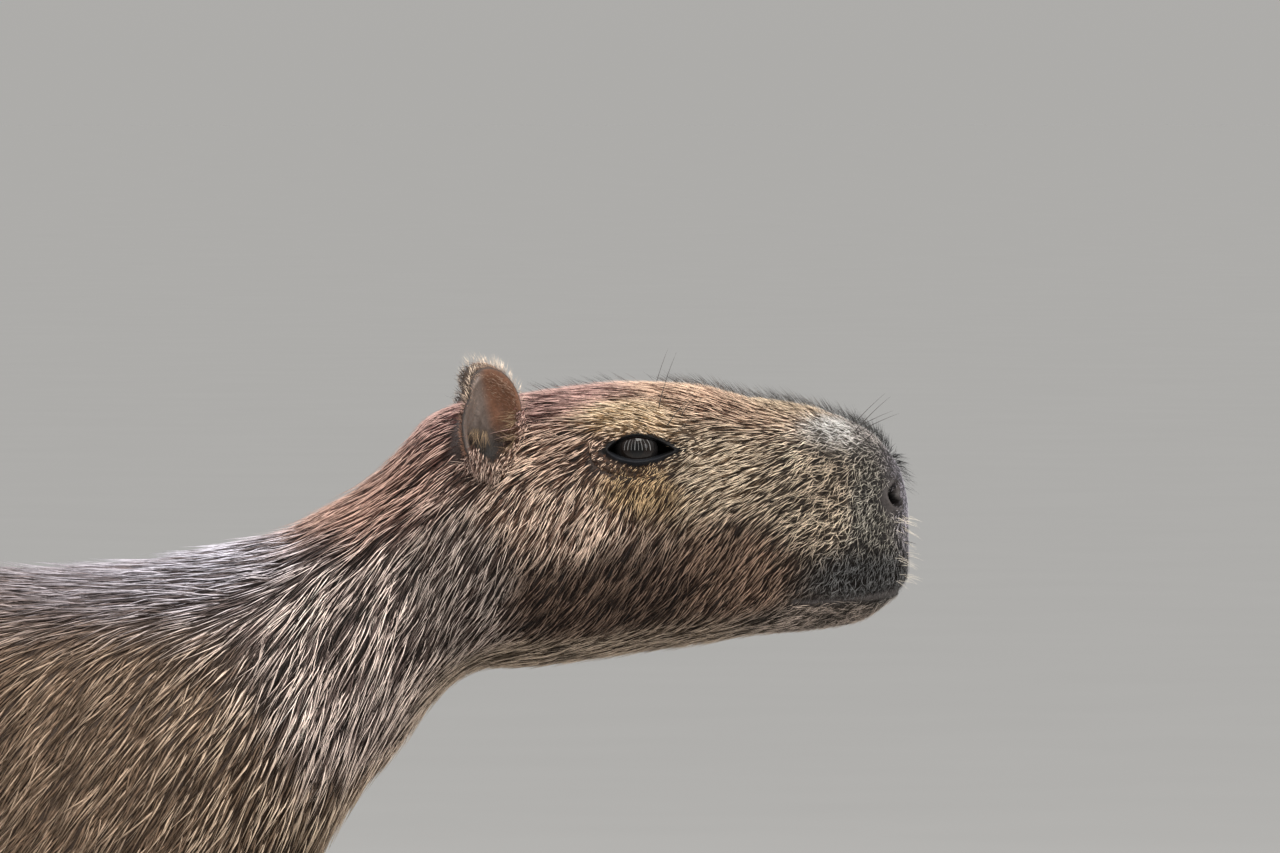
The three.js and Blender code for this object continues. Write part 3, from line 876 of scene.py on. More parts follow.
# dark is the deepest tone among the hairs: the skin and the hair roots take it as painted shade, the dark
# hairs as their own colour
# at; reach; lie; length, width, lift, cover, depth; dark; mid; pale
PLACES: dict[str, CoatPlace] = {
    "crown": CoatPlace(
        (325, 14, 612), (52, 36, 20), (-1, 0.05, -0.1), 17, 0.482, 1.5, 2.7, 2.6,
        (0.0072, 0.004, 0.0032), (0.13, 0.053, 0.048), (0.53, 0.34, 0.3)),
    "forehead": CoatPlace(
        (432, 14, 612), (40, 32, 16), (-1, 0.05, 0.12), 12, 0.43, 1.3, 2.6, 2,
        (0.0072, 0.0037, 0.002), (0.19, 0.099, 0.067), (0.63, 0.45, 0.33)),
    "above the eye": CoatPlace(
        (386, 56, 601), (24, 16, 9), (-0.95, 0, 0.28), 10, 0.413, 0.8, 2.9, 1.6,
        (0.036, 0.02, 0.0093), (0.39, 0.25, 0.13), (0.81, 0.63, 0.44)),
    "under the eye": CoatPlace(
        (386, 62, 563), (26, 18, 11), (-0.5, 0, -0.86), 9, 0.413, 0.9, 2.7, 1.6,
        (0.0066, 0.004, 0.003), (0.1, 0.053, 0.026), (0.45, 0.32, 0.18)),
    "before the eye": CoatPlace(
        (432, 56, 575), (24, 20, 20), (-0.92, 0, -0.38), 11, 0.43, 1, 2.5, 1.8,
        (0.0071, 0.0045, 0.0027), (0.14, 0.091, 0.054), (0.6, 0.49, 0.37)),
    "cheek": CoatPlace(
        (345, 72, 548), (36, 26, 24), (-0.52, 0, -0.85), 17, 0.482, 1.4, 2.6, 3,
        (0.006, 0.004, 0.003), (0.13, 0.069, 0.046), (0.71, 0.54, 0.43)),
    "behind the eye": CoatPlace(
        (340, 66, 585), (26, 18, 16), (-0.85, 0, -0.5), 14, 0.464, 1.2, 2.7, 2.6,
        (0.0048, 0.0032, 0.0024), (0.12, 0.059, 0.038), (0.68, 0.49, 0.38)),
    # The low cheek's tones: the wet hair's own dark brown, made darker still as painted shade on the
    # underside of the head.
    "low cheek": CoatPlace(
        (360, 70, 510), (56, 30, 28), (-0.56, 0, -0.83), 19, 0.516, 1.5, 2.5, 3,
        (0.006, 0.004, 0.003), (0.016, 0.0079, 0.0053), (0.12, 0.079, 0.058)),
    "mouth corner": CoatPlace(
        (445, 56, 520), (28, 22, 20), (-0.62, 0, -0.78), 14, 0.447, 1.2, 2.4, 2,
        (0.006, 0.004, 0.003), (0.036, 0.018, 0.011), (0.27, 0.18, 0.13)),
    "muzzle side": CoatPlace(
        (490, 52, 556), (26, 20, 24), (-0.82, 0, -0.56), 8.5, 0.327, 1.2, 1.6, 1.3,
        (0.006, 0.004, 0.003), (0.068, 0.049, 0.035), (0.7, 0.57, 0.43)),
    "muzzle front": CoatPlace(
        (514, 45, 550), (15, 22, 26), (-0.6, 0, -0.8), 5.5, 0.258, 1.3, 1.15, 1.1,
        (0.006, 0.0045, 0.0044), (0.03, 0.028, 0.025), (0.42, 0.39, 0.33)),
    "snout line": CoatPlace(
        (470, 10, 607), (26, 20, 9), (-0.98, 0.1, 0.1), 9, 0.378, 1.2, 2.4, 1.4,
        (0.014, 0.0084, 0.0056), (0.2, 0.13, 0.084), (0.63, 0.5, 0.36)),
    # The snout top's pale grey: the fine hairs' own grey, brightened by a painted sheen of light from above.
    "snout top": CoatPlace(
        (501, 30, 593), (13, 15, 9), (-0.98, 0.1, 0.05), 7, 0.344, 1, 2.3, 1.2,
        (0.027, 0.024, 0.021), (0.33, 0.3, 0.27), (0.77, 0.75, 0.72)),
    "nose ridge": CoatPlace(
        (520, 18, 592), (14, 22, 10), (-0.9, 0.1, 0.1), 4.5, 0.31, 0.8, 1.7, 0.8,
        (0.01, 0.0089, 0.0083), (0.078, 0.072, 0.069), (0.48, 0.44, 0.41)),
    "nose": CoatPlace(
        (536, 26, 562), (11, 26, 26), (-0.6, 0.2, -0.5), 2.8, 0.28, 0.5, 0.8, 0.5,
        (0.006, 0.0049, 0.0047), (0.064, 0.066, 0.086), (0.45, 0.42, 0.47)),
    "lip": CoatPlace(
        (515, 46, 514), (30, 30, 15), (-0.35, 0, -0.94), 7, 0.327, 1.1, 1.7, 1,
        (0.006, 0.004, 0.003), (0.009, 0.0081, 0.0084), (0.14, 0.14, 0.14)),
    "chin": CoatPlace(
        (500, 20, 486), (36, 40, 12), (-0.95, 0.1, -0.3), 8, 0.45, 1, 1.9, 1.5,
        (0.012, 0.0096, 0.0078), (0.072, 0.057, 0.045), (0.32, 0.26, 0.22)),
    "throat": CoatPlace(
        (370, 20, 462), (80, 50, 22), (-0.9, 0.15, -0.42), 18, 0.645, 1.4, 2.3, 3.2,
        (0.014, 0.0096, 0.0072), (0.11, 0.081, 0.056), (0.38, 0.3, 0.23)),
    "jaw corner": CoatPlace(
        (292, 76, 515), (30, 30, 36), (-0.46, 0, -0.89), 22, 0.568, 1.7, 2.5, 3.6,
        (0.006, 0.004, 0.003), (0.054, 0.035, 0.029), (0.41, 0.34, 0.3)),
    "nape": CoatPlace(
        (232, 30, 566), (42, 50, 24), (-0.86, 0.1, -0.5), 28, 0.688, 2.2, 2.6, 4.6,
        (0.007, 0.0038, 0.003), (0.13, 0.062, 0.047), (0.56, 0.36, 0.29)),
    "neck side": CoatPlace(
        (225, 92, 480), (46, 40, 60), (-0.4, 0, -0.92), 28, 0.731, 2.2, 2.5, 4.8,
        (0.0055, 0.0037, 0.003), (0.12, 0.086, 0.077), (0.7, 0.57, 0.51)),
    "chest": CoatPlace(
        (190, 30, 330), (50, 80, 80), (-0.4, 0, -0.92), 29.4, 1.28, 2.4, 2.3, 6,
        (0.021, 0.013, 0.0084), (0.15, 0.1, 0.065), (0.39, 0.3, 0.22)),
    # The withers' bluish greys: the hair's own tone with a painted sheen, the sky's reflection on wet hair.
    "withers": CoatPlace(
        (110, 30, 525), (80, 60, 30), (-1, 0.1, -0.12), 31.3, 0.92, 2.6, 2.4, 6,
        (0.012, 0.0085, 0.0081), (0.15, 0.12, 0.12), (0.55, 0.53, 0.6)),
    "back": CoatPlace(
        (-160, 40, 535), (200, 90, 40), (-1, 0.12, -0.1), 36.8, 1.36, 2.8, 2.3, 7,
        (0.018, 0.0094, 0.0061), (0.13, 0.086, 0.06), (0.41, 0.31, 0.25)),
    "shoulder": CoatPlace(
        (110, 125, 400), (80, 50, 90), (-0.55, 0, -0.84), 31.3, 1.28, 2.6, 2.3, 6.5,
        (0.018, 0.01, 0.0065), (0.14, 0.092, 0.061), (0.41, 0.31, 0.23)),
    "flank": CoatPlace(
        (-130, 150, 360), (170, 60, 90), (-0.86, 0, -0.52), 38.6, 1.44, 2.8, 2.3, 7,
        (0.02, 0.011, 0.0072), (0.15, 0.099, 0.065), (0.42, 0.33, 0.23)),
    "belly": CoatPlace(
        (-130, 50, 195), (200, 90, 34), (-0.94, 0.1, -0.3), 35, 1.52, 2.6, 2, 7,
        (0.034, 0.021, 0.013), (0.18, 0.14, 0.089), (0.44, 0.36, 0.27)),
    "thigh": CoatPlace(
        (-390, 145, 340), (80, 60, 90), (-0.42, 0, -0.9), 33.1, 1.36, 2.6, 2.2, 6.5,
        (0.018, 0.01, 0.0065), (0.14, 0.089, 0.06), (0.41, 0.3, 0.22)),
    "rump": CoatPlace(
        (-515, 40, 420), (50, 90, 80), (-0.25, 0.1, -0.96), 35, 1.44, 2.6, 2.2, 6,
        (0.016, 0.0094, 0.0058), (0.13, 0.083, 0.057), (0.39, 0.3, 0.22)),
    "fore arm": CoatPlace(
        (100, 90, 215), (60, 60, 60), (-0.3, 0, -0.95), 20.2, 1.12, 1.8, 2, 4,
        (0.027, 0.016, 0.011), (0.16, 0.11, 0.068), (0.42, 0.31, 0.21)),
    "fore shank": CoatPlace(
        (105, 88, 115), (50, 50, 42), (-0.12, 0, -1), 13, 1, 1.2, 1.7, 2.2,
        (0.021, 0.013, 0.0096), (0.13, 0.085, 0.056), (0.36, 0.27, 0.19)),
    "hind shank": CoatPlace(
        (-415, 100, 160), (70, 60, 50), (-0.3, 0, -0.95), 16, 1.15, 1.3, 1.8, 2.8,
        (0.024, 0.015, 0.01), (0.14, 0.089, 0.058), (0.38, 0.28, 0.2)),
    "hock": CoatPlace(
        (-430, 100, 85), (40, 50, 30), (-0.1, 0, -1), 11, 0.95, 1.1, 1.6, 1.8,
        (0.018, 0.013, 0.0096), (0.1, 0.072, 0.051), (0.32, 0.25, 0.18)),
    "fore foot": CoatPlace(
        (140, 88, 28), (44, 50, 22), (0.85, 0.1, -0.5), 6, 0.6, 0.7, 1, 1,
        (0.016, 0.013, 0.011), (0.068, 0.054, 0.044), (0.26, 0.21, 0.17)),
    "hind foot": CoatPlace(
        (-370, 100, 30), (56, 56, 24), (0.85, 0.1, -0.5), 6.5, 0.65, 0.7, 1, 1,
        (0.016, 0.013, 0.011), (0.068, 0.054, 0.044), (0.26, 0.21, 0.17)),
}


@dataclass
class CoatPlan:
    """Reads the places: each counts by (e + soft)^-3, where e is the squared distance in its reaches."""

    soft: float = 0.12
    places: tuple[CoatPlace, ...] = tuple(PLACES.values())

    def read(self, points: Array, *keys: str) -> list[Array]:
        """The mixed value of each key at the points.

        Args:
            points: places on the skin.
            keys: names of the places' fields.

        Returns:
            One array a key, with a column for each number of the field.
        """
        folded = fold_side(points)
        at = np.array([p.at for p in self.places])
        reach = np.array([p.reach for p in self.places])
        near = [((((folded - a) / r) ** 2).sum(1) + self.soft) ** -3 for a, r in zip(at, reach)]
        weight = np.stack(near, 1)
        weight /= weight.sum(1, keepdims=True)
        return [weight @ np.array([getattr(p, key) for p in self.places], float) for key in keys]

    def lie(self, points: Array, normals: Array) -> Array:
        """The way the hairs point along the skin: the mixed lie less its part along the normal.

        Args:
            points: places on the skin.
            normals: the skin's normals there.

        Returns:
            Unit vectors along the skin.
        """
        (lie,) = self.read(points, "lie")
        lie[:, 1] *= np.where(points[:, 1] < 0, -1, 1)
        return unit(lie - (lie * normals).sum(1, keepdims=True) * normals)


# The skin


@dataclass(frozen=True)
class HollowPlan:
    """The ear's hollow, an ellipse seen from the side that the head's skin leaves free."""

    x: float = 302.5
    z: float = 588.5
    half_x: float = 15.5
    half_z: float = 17.5
    least_y: float = 25.0

    def share(self, points: Array) -> Array:
        """How far out points are from the middle of the hollow, as a share of its half sizes."""
        out = np.hypot((points[:, 0] - self.x) / self.half_x, (points[:, 2] - self.z) / self.half_z)
        return np.where(np.abs(points[:, 1]) < self.least_y, 9.0, out)


@dataclass
class EyePlan:
    """Where the eye sits, and three outlines round it: the lids' margin, their dark skin, their outer edge.

    Each outline has its own reach to the front, to the back, up and down.
    """

    at: Triple = (383.0, 49.0, 582.0)
    radius: float = 12.4
    inner: tuple[float, float, float, float] = (20.0, 15.0, 7.1, 5.2)
    dark: tuple[float, float, float, float] = (29.5, 21.5, 10.2, 9.4)
    edge: tuple[float, float, float, float] = (38.0, 27.0, 17.0, 16.0)
    front_drop: float = 0.3
    dark_power: float = 1.35
    least_y: float = 25.0

    def outline(self, reach: tuple[float, float, float, float], c: Array, s: Array) -> tuple[Array, Array]:
        """The half sizes that hold on the side where c and s point."""
        return np.where(c > 0, reach[0], reach[1]), np.where(s > 0, reach[2], reach[3])

    def margin(self, theta: Array) -> tuple[Array, Array]:
        """The lids' edge, an almond: x = a cos, z = b sin, with b less towards the two corners.

        Args:
            theta: angles round the eye.

        Returns:
            The edge's x and z from the middle of the eye.
        """
        c, s = np.cos(theta), np.sin(theta)
        half_x, half_z = self.outline(self.inner, c, s)
        front = np.clip(c, 0, 1) ** 2
        taper = 1 - 0.72 * front - 0.5 * np.clip(-c, 0, 1) ** 2
        return half_x * c, half_z * s * taper - self.front_drop * front

    def outer(self, theta: Array) -> tuple[Array, Array]:
        """The outer edge of the lids' own surface, an ellipse longer to the front.

        Args:
            theta: angles round the eye.

        Returns:
            The edge's x and z from the middle of the eye.
        """
        c, s = np.cos(theta), np.sin(theta)
        half_x, half_z = self.outline(self.edge, c, s)
        return half_x * c, half_z * s

    def dark_share(self, points: Array) -> Array:
        """How far out points are as a share of the dark skin: (|x / a|^p + |z / b|^p)^(1 / p).

        Args:
            points: places round the eye.

        Returns:
            The shares, 1 on the dark skin's outline.
        """
        dx, dz = points[..., 0] - self.at[0], points[..., 2] - self.at[2]
        half_x, half_z = self.outline(self.dark, dx, dz)
        power = self.dark_power
        return ((np.abs(dx) / half_x) ** power + (np.abs(dz) / half_z) ** power) ** (1 / power)

    def share(self, points: Array) -> tuple[Array, Array]:
        """How far out points are in the (x, z) plane, as shares of ellipses.

        Args:
            points: places on the head.

        Returns:
            The shares of the margin and of the outer edge, and 9 near the head's middle plane.
        """
        dx, dz = points[..., 0] - self.at[0], points[..., 2] - self.at[2]
        far = np.abs(points[..., 1]) < self.least_y
        shares = []
        for reach in (self.inner, self.edge):
            half_x, half_z = self.outline(reach, dx, dz)
            shares.append(np.where(far, 9.0, np.hypot(dx / half_x, dz / half_z)))
        return shares[0], shares[1]


@dataclass
class NostrilPlan:
    """The comma of a nostril: a path with a radius at each point, pushed into the skin."""

    path: tuple[Triple, ...] = (
        (532.5, 33.0, 564.5), (529.0, 37.0, 561.0), (526.2, 40.0, 556.5), (527.8, 39.0, 552.2),
        (531.5, 35.5, 550.3),
    )
    radii: tuple[float, ...] = (1.0, 2.1, 2.9, 2.8, 1.7)
    depth: float = 11.0
    rim: float = 0.9
    near: float = 26.0

    def distance(self, points: Array) -> Array:
        """The distance to the path over its radius there.

        Args:
            points: places of either side.

        Returns:
            The shares, 1 on the nostril's edge, and 9 where points aren't near it.
        """
        folded = fold_side(points)
        share = np.full(len(points), 9.0)
        close = np.linalg.norm(folded - np.array(self.path[2]), axis=1) < self.near
        line = curve_through(np.column_stack([self.path, self.radii]), 24)
        off = np.linalg.norm(folded[close][:, None] - line[None, :, :3], axis=2) / line[None, :, 3]
        share[close] = off.min(1)
        return share


@dataclass
class MouthPlan:
    """The line of the mouth, from the front of the muzzle back to its corner, and the split of the lip."""

    front_z: float = 505.0
    corner_x: float = 474.5
    corner_z: float = 498.0
    depth: float = 4.2
    half: float = 1.5
    cleft_depth: float = 2.2
    cleft_half: float = 1.6
    cleft_top: float = 572.0

    def line(self, x: Array) -> Array:
        """The height of the line: it falls to the corner, and sags a little between."""
        s = np.clip((x - self.corner_x) / 60, 0, 1)
        return self.corner_z + (self.front_z - self.corner_z) * s - 2.2 * np.sin(np.pi * s)

    def depth_at(self, points: Array) -> Array:
        """A groove exp(-(off / half)^2) deep, less lips that swell a little on both sides of it.

        Args:
            points: places on the head.

        Returns:
            How far the skin goes in there.
        """
        x, z = points[:, 0], points[:, 2]
        off = z - self.line(x)
        fade = step((x - self.corner_x + 5) / 12)
        groove = self.depth * bell(off / self.half)
        lips = 0.9 * bell((np.abs(off) - 4.4) / 2.4)
        return (groove - lips) * fade

    def cleft(self, points: Array) -> Array:
        """The split of the upper lip up to the nose, on the middle line of the front.

        Args:
            points: places on the head.

        Returns:
            How far the skin goes in there.
        """
        x, y, z = points.T
        high = step((z - self.front_z) / 4) * step((self.cleft_top - z) / 22)
        return self.cleft_depth * bell(y / self.cleft_half) * high * step((x - 515) / 10)


@dataclass
class Skin:
    """The one skin of the whole body: the trunk's fine grid joined with the four limbs."""

    trunk: Trunk
    limbs: tuple[Limb, ...]
    plan: CoatPlan
    eye: EyePlan
    nostril: NostrilPlan
    mouth: MouthPlan
    hollow: HollowPlan = HollowPlan()
    around: int = 216
    nose_rings: int = 62
    rump_rings: int = 22
    span_ends: tuple[float, ...] = (420.0, 355.0, 262.0, 170.0)
    span_gaps: tuple[float, ...] = (1.75, 1.35, 2.3, 4.0, 8.0)
    lid_sink: float = 2.6
    eye_sink: float = 12.0
    ear_sink: float = 19.0
    seam_reach: float = 30.0
    seam_rounds: int = 70
    bare: Triple = (0.03, 0.026, 0.025)
    nodes: tuple[str, ...] = (
        "head", "neck", "torso", "fore_leg_left", "fore_leg_right", "hind_leg_left", "hind_leg_right",
        "fore_foot_left", "fore_foot_right", "hind_foot_left", "hind_foot_right",
    )

    def angles(self) -> Array:
        """Angles round the section, closer together at the mouth, the nostrils and the eyes.

        Returns:
            The angles from -90 degrees round through 90 degrees, mirrored on the other side.
        """
        fine = np.linspace(-np.pi / 2, np.pi / 2, 2001)
        degrees = np.degrees(fine)
        mouth = 1.7 * bell((degrees + 34) / 9)
        crowd = 1 + mouth + 1.0 * bell((degrees - 32) / 17)
        total = np.concatenate([[0], np.cumsum((crowd[1:] + crowd[:-1]) / 2)])
        half = np.interp(np.linspace(0, total[-1], self.around // 2 + 1), total, fine)
        return np.concatenate([half, np.pi - half[1:-1][::-1]])

    def stations(self) -> Array:
        """The x of each ring: close on the muzzle and round the eye, wider over the torso.

        Returns:
            The places from nose to rump, spread over the caps by a cosine and a sine.
        """
        nose, rump = self.trunk.nose, self.trunk.rump
        s = (np.arange(self.nose_rings) + 0.5) / self.nose_rings
        front = nose.start + (nose.end - nose.start) * np.cos(s * np.pi / 2)
        ends = (nose.start, *self.span_ends, rump.start)
        middle = [np.arange(a, b, -gap) for a, b, gap in zip(ends, ends[1:], self.span_gaps)]
        t = np.arange(1, self.rump_rings) / self.rump_rings
        back = rump.start + (rump.end - rump.start) * np.sin(t * np.pi / 2)
        return np.concatenate([front, *middle, back])

    def grid(self) -> Array:
        """The trunk's rings, less the coat's depth along the normal, with the face's details cut in.

        The normal is the cross product of the steps round and along the grid.

        Returns:
            The points, one ring a row.
        """
        rings = self.trunk.surface(self.stations()[:, None], self.angles()[None, :])
        round_step = np.roll(rings, -1, 1) - np.roll(rings, 1, 1)
        normal = unit(np.cross(np.gradient(rings, axis=0), round_step))
        flat, out = rings.reshape(-1, 3), normal.reshape(-1, 3)
        level = np.repeat(rings[..., 2].mean(1), rings.shape[1])
        centre = np.stack([flat[:, 0] * 0.9, np.zeros(len(flat)), level], 1)
        out *= np.where(((flat - centre) * out).sum(1, keepdims=True) < 0, -1, 1)
        (depth,) = self.plan.read(flat, "depth")
        into = depth + self.mouth.depth_at(flat) + self.mouth.cleft(flat)
        gap = self.nostril.distance(flat)
        into += self.nostril.depth * step((1.12 - gap) / 0.75)
        into -= self.nostril.rim * bell((gap - 1.5) / 0.4)
        margin, outer = self.eye.share(flat)
        into += self.lid_sink * step((0.97 - outer) / 0.15) + self.eye_sink * step((1.25 - margin) / 0.4)
        into += self.ear_sink * step((1.0 - self.hollow.share(flat)) / 0.3)
        into -= self.folds(flat)
        return (flat - out * into[:, None]).reshape(rings.shape)

    def folds(self, points: Array) -> Array:
        """Loose folds: faint waves across the neck, behind the jaw, round the muzzle and over the body.

        Args:
            points: places on the trunk.

        Returns:
            How far the skin stands out there.
        """
        x, _, z = points.T
        neck = bell((x - 235) / 45) * 1.6 * ripple(points * np.array([1, 0.5, 0.45]), 46, 3)
        jaw = np.exp(-(((x - 300) / 40) ** 2) - (((z - 500) / 50) ** 2)) * ripple(points, 34, 5)
        muzzle = bell((x - 500) / 35) * 0.35 * ripple(points, 11, 7)
        body = step((180 - x) / 60) * 2.2 * ripple(points * np.array([1, 0.6, 0.6]), 120, 9)
        return neck + jaw + muzzle + body

    def build(self) -> bpy.types.Object:
        """Joins the trunk and the limbs, and softens the seams so that one form flows into the other.

        Returns:
            The skin.
        """
        skin = closed_piece("skin", *closed_tube(self.grid()))
        made = [limb.build() for limb in self.limbs]
        for limb in made:
            join = skin.modifiers.new("join", "BOOLEAN")
            join.operation = "UNION"
            join.solver = "MANIFOLD"
            join.object = limb
        apply_modifiers(skin)
        for limb in made:
            bpy.data.objects.remove(limb)
        co = points_of(skin)
        near_trunk = bell(self.trunk.outside(co) / self.seam_reach)
        near_limb = np.max([bell(limb.outside(co) / self.seam_reach) for limb in self.limbs], 0)
        weight = 0.9 * step(near_trunk * near_limb * 1.6 - 0.2)
        weight *= step((260 - co[:, 0]) / 30)
        co = relax(co, edges_of(skin), weight, self.seam_rounds)
        co[:, 2] = np.maximum(co[:, 2], 0)
        set_points(skin, co)
        skin.data.shade_smooth()
        return skin

    def tones(self, points: Array) -> Array:
        """The skin's colours: the coat's dark and middle tones as painted shade between the hairs, bare at
        nose, lips and soles, painted black shade in pits.

        Args:
            points: the skin's points.

        Returns:
            One linear colour a point.
        """
        dark, mid = self.plan.read(points, "dark", "mid")
        # Painted shade: under the coat the skin takes the dark tone seen between the hairs.
        tone = dark * 0.85 + mid * 0.1
        x, _, z = points.T
        gap = self.nostril.distance(points)
        nose = step((x - 515) / 14) * step((z - 520) / 20) * step((592 - z) / 10)
        lips = bell((z - self.mouth.line(x)) / 4)
        lips *= step((x - 466) / 8)
        sole = step((16 - z) / 10)
        # The nostrils' bare inner skin, kept darker than the other bare skin as painted shade.
        pit = step((1.6 - gap) / 0.8)
        share = np.clip(nose * 0.8 + lips + sole * 0.8 + pit, 0, 1)[:, None]
        # Painted black shade in the nostrils, in the skin sunk beside them, and in the skin sunk under the
        # lids.
        sunk = step((-self.trunk.outside(points) - 1.4) / 1.4) * step((6.5 - gap) / 1.0)
        margin, _ = self.eye.share(points)
        deep = np.max([sunk, step((1.0 - gap) / 0.2), step((1.7 - margin) / 0.3)], 0)[:, None]
        bare = np.array(self.bare) * (1.7 * (1 - pit[:, None]) + pit[:, None] * 1.1)
        return (tone * (1 - share) + bare * share) * (1 - 0.93 * deep)

    def dress(self, skin: bpy.types.Object, material: bpy.types.Material) -> None:
        """Paints and unwraps the skin, and lets it stand for the solids of flesh.

        Args:
            skin: the built skin.
            material: its finish.
        """
        points = points_of(skin)
        paint(skin, self.tones(points))
        unwrap(skin, Unwrap(self.trunk, self.limbs).place(points))
        place_piece(skin, Slot.FACE, material, *self.nodes)


@dataclass
class Unwrap:
    """An unwrap of the skin: the trunk as (angle, x) and each leg as (angle, height) in its own field."""

    trunk: Trunk
    limbs: tuple[Limb, ...]
    trunk_width: float = 0.66

    def limb_of(self, points: Array) -> Array:
        """Which limb each point belongs to.

        Args:
            points: places on the skin.

        Returns:
            The limb's number, or -1 for the trunk.
        """
        owner = np.full(len(points), -1)
        free = self.trunk.outside(points) > 3
        for k, limb in enumerate(self.limbs):
            low = (points[:, 2] < 300) & (free | (points[:, 2] < 120))
            owner[(limb.outside(points) < 14) & low] = k
        return owner

    def place(self, points: Array) -> Array:
        """Unrolls the trunk and the limbs, each round its own middle line.

        Args:
            points: places on the skin.

        Returns:
            One UV pair a point.
        """
        _, middle, *_ = self.trunk.sizes(points[:, 0])
        turn = np.arctan2(points[:, 1], points[:, 2] - middle) / (2 * np.pi) + 0.5
        along = (points[:, 0] + 540) / 1080
        uv = np.stack([0.01 + turn * (self.trunk_width - 0.02), 0.01 + along * 0.98], 1)
        owner = self.limb_of(points)
        for k, limb in enumerate(self.limbs):
            mine = owner == k
            x, y, *_ = limb.axis(points[mine, 2])
            turn = np.arctan2(points[mine, 1] - y, points[mine, 0] - x) / (2 * np.pi) + 0.5
            uv[mine] = np.stack([0.68 + turn * 0.3, 0.01 + 0.25 * k + points[mine, 2] / 440 * 0.23], 1)
        return uv


# Tufts


@dataclass
class TuftSet:
    """What a set of tufts is made from: roots, normals, lie, sizes, and colours at root, middle and tip."""

    root: Array
    normal: Array
    lie: Array
    length: Array
    width: Array
    lift: Array
    curl: Array
    colours: Array
    uv: Array

    def pick(self, which: Array) -> "TuftSet":
        """The tufts whose numbers are given."""
        return TuftSet(*(getattr(self, key)[which] for key in self.__dataclass_fields__))


@dataclass
class TuftMaker:
    """Turns a set of tufts into a closed mesh of slim spindles.

    A tuft is a root under the skin, a ring of three points two fifths along, and a tip. Middle and tip
    are set on the skin below them and then raised, so a tuft follows the body's curve.
    """

    bury: float = 0.7
    ring_at: float = 0.42
    thick: float = 0.42
    patch: float = 0.0015

    def follow(self, points: Array, skin: bpy.types.Object | None) -> Array:
        """Draws points onto a skin.

        Args:
            points: places near the skin.
            skin: the piece, or None to leave the points where they are.

        Returns:
            The nearest places on the skin.
        """
        if skin is None:
            return points
        probe = new_cloud("probe", points)
        wrap = probe.modifiers.new("wrap", "SHRINKWRAP")
        wrap.target = skin
        wrap.wrap_method = "NEAREST_SURFACEPOINT"
        apply_modifiers(probe)
        found = points_of(probe)
        bpy.data.objects.remove(probe)
        return found

    def build(self, name: str, tufts: TuftSet, skin: bpy.types.Object | None) -> bpy.types.Object:
        """The mesh of all the tufts of a set.

        Args:
            name: the piece's name.
            tufts: the set.
            skin: the piece they lie on, or None where they stand free.

        Returns:
            The piece, coloured and unwrapped.
        """
        n = len(tufts.root)
        length, width, lift = (a[:, None] for a in (tufts.length, tufts.width, tufts.lift))
        side = np.cross(tufts.normal, tufts.lie)
        ahead = tufts.root + tufts.lie * length
        middle = tufts.root + tufts.lie * length * self.ring_at
        below = self.follow(np.concatenate([middle, ahead]), skin)
        middle = below[:n] + tufts.normal * (lift * 0.5 + width * 0.1)
        tip = below[n:] + tufts.normal * lift + side * tufts.curl[:, None]
        middle -= side * tufts.curl[:, None] * 0.35
        base = tufts.root - tufts.normal * self.bury
        left, right = middle + side * width / 2, middle - side * width / 2
        ridge = middle + tufts.normal * width * self.thick
        points = np.stack([base, left, right, ridge, tip], 1).reshape(-1, 3)
        points[:, 2] = np.maximum(points[:, 2], 0)
        one = np.array([[0, 1, 3], [0, 3, 2], [0, 2, 1], [4, 3, 1], [4, 2, 3], [4, 1, 2]])
        faces = (np.arange(n)[:, None, None] * 5 + one[None]).reshape(-1, 3)
        piece = closed_piece(name, points, [faces])
        paint(piece, tufts.colours[:, [0, 1, 1, 1, 2]].reshape(-1, 3))
        offsets = np.array([[0, -1], [-1, 0], [1, 0], [0, 0], [0, 1]]) * self.patch
        unwrap(piece, (tufts.uv[:, None] + offsets[None]).reshape(-1, 2))
        return piece


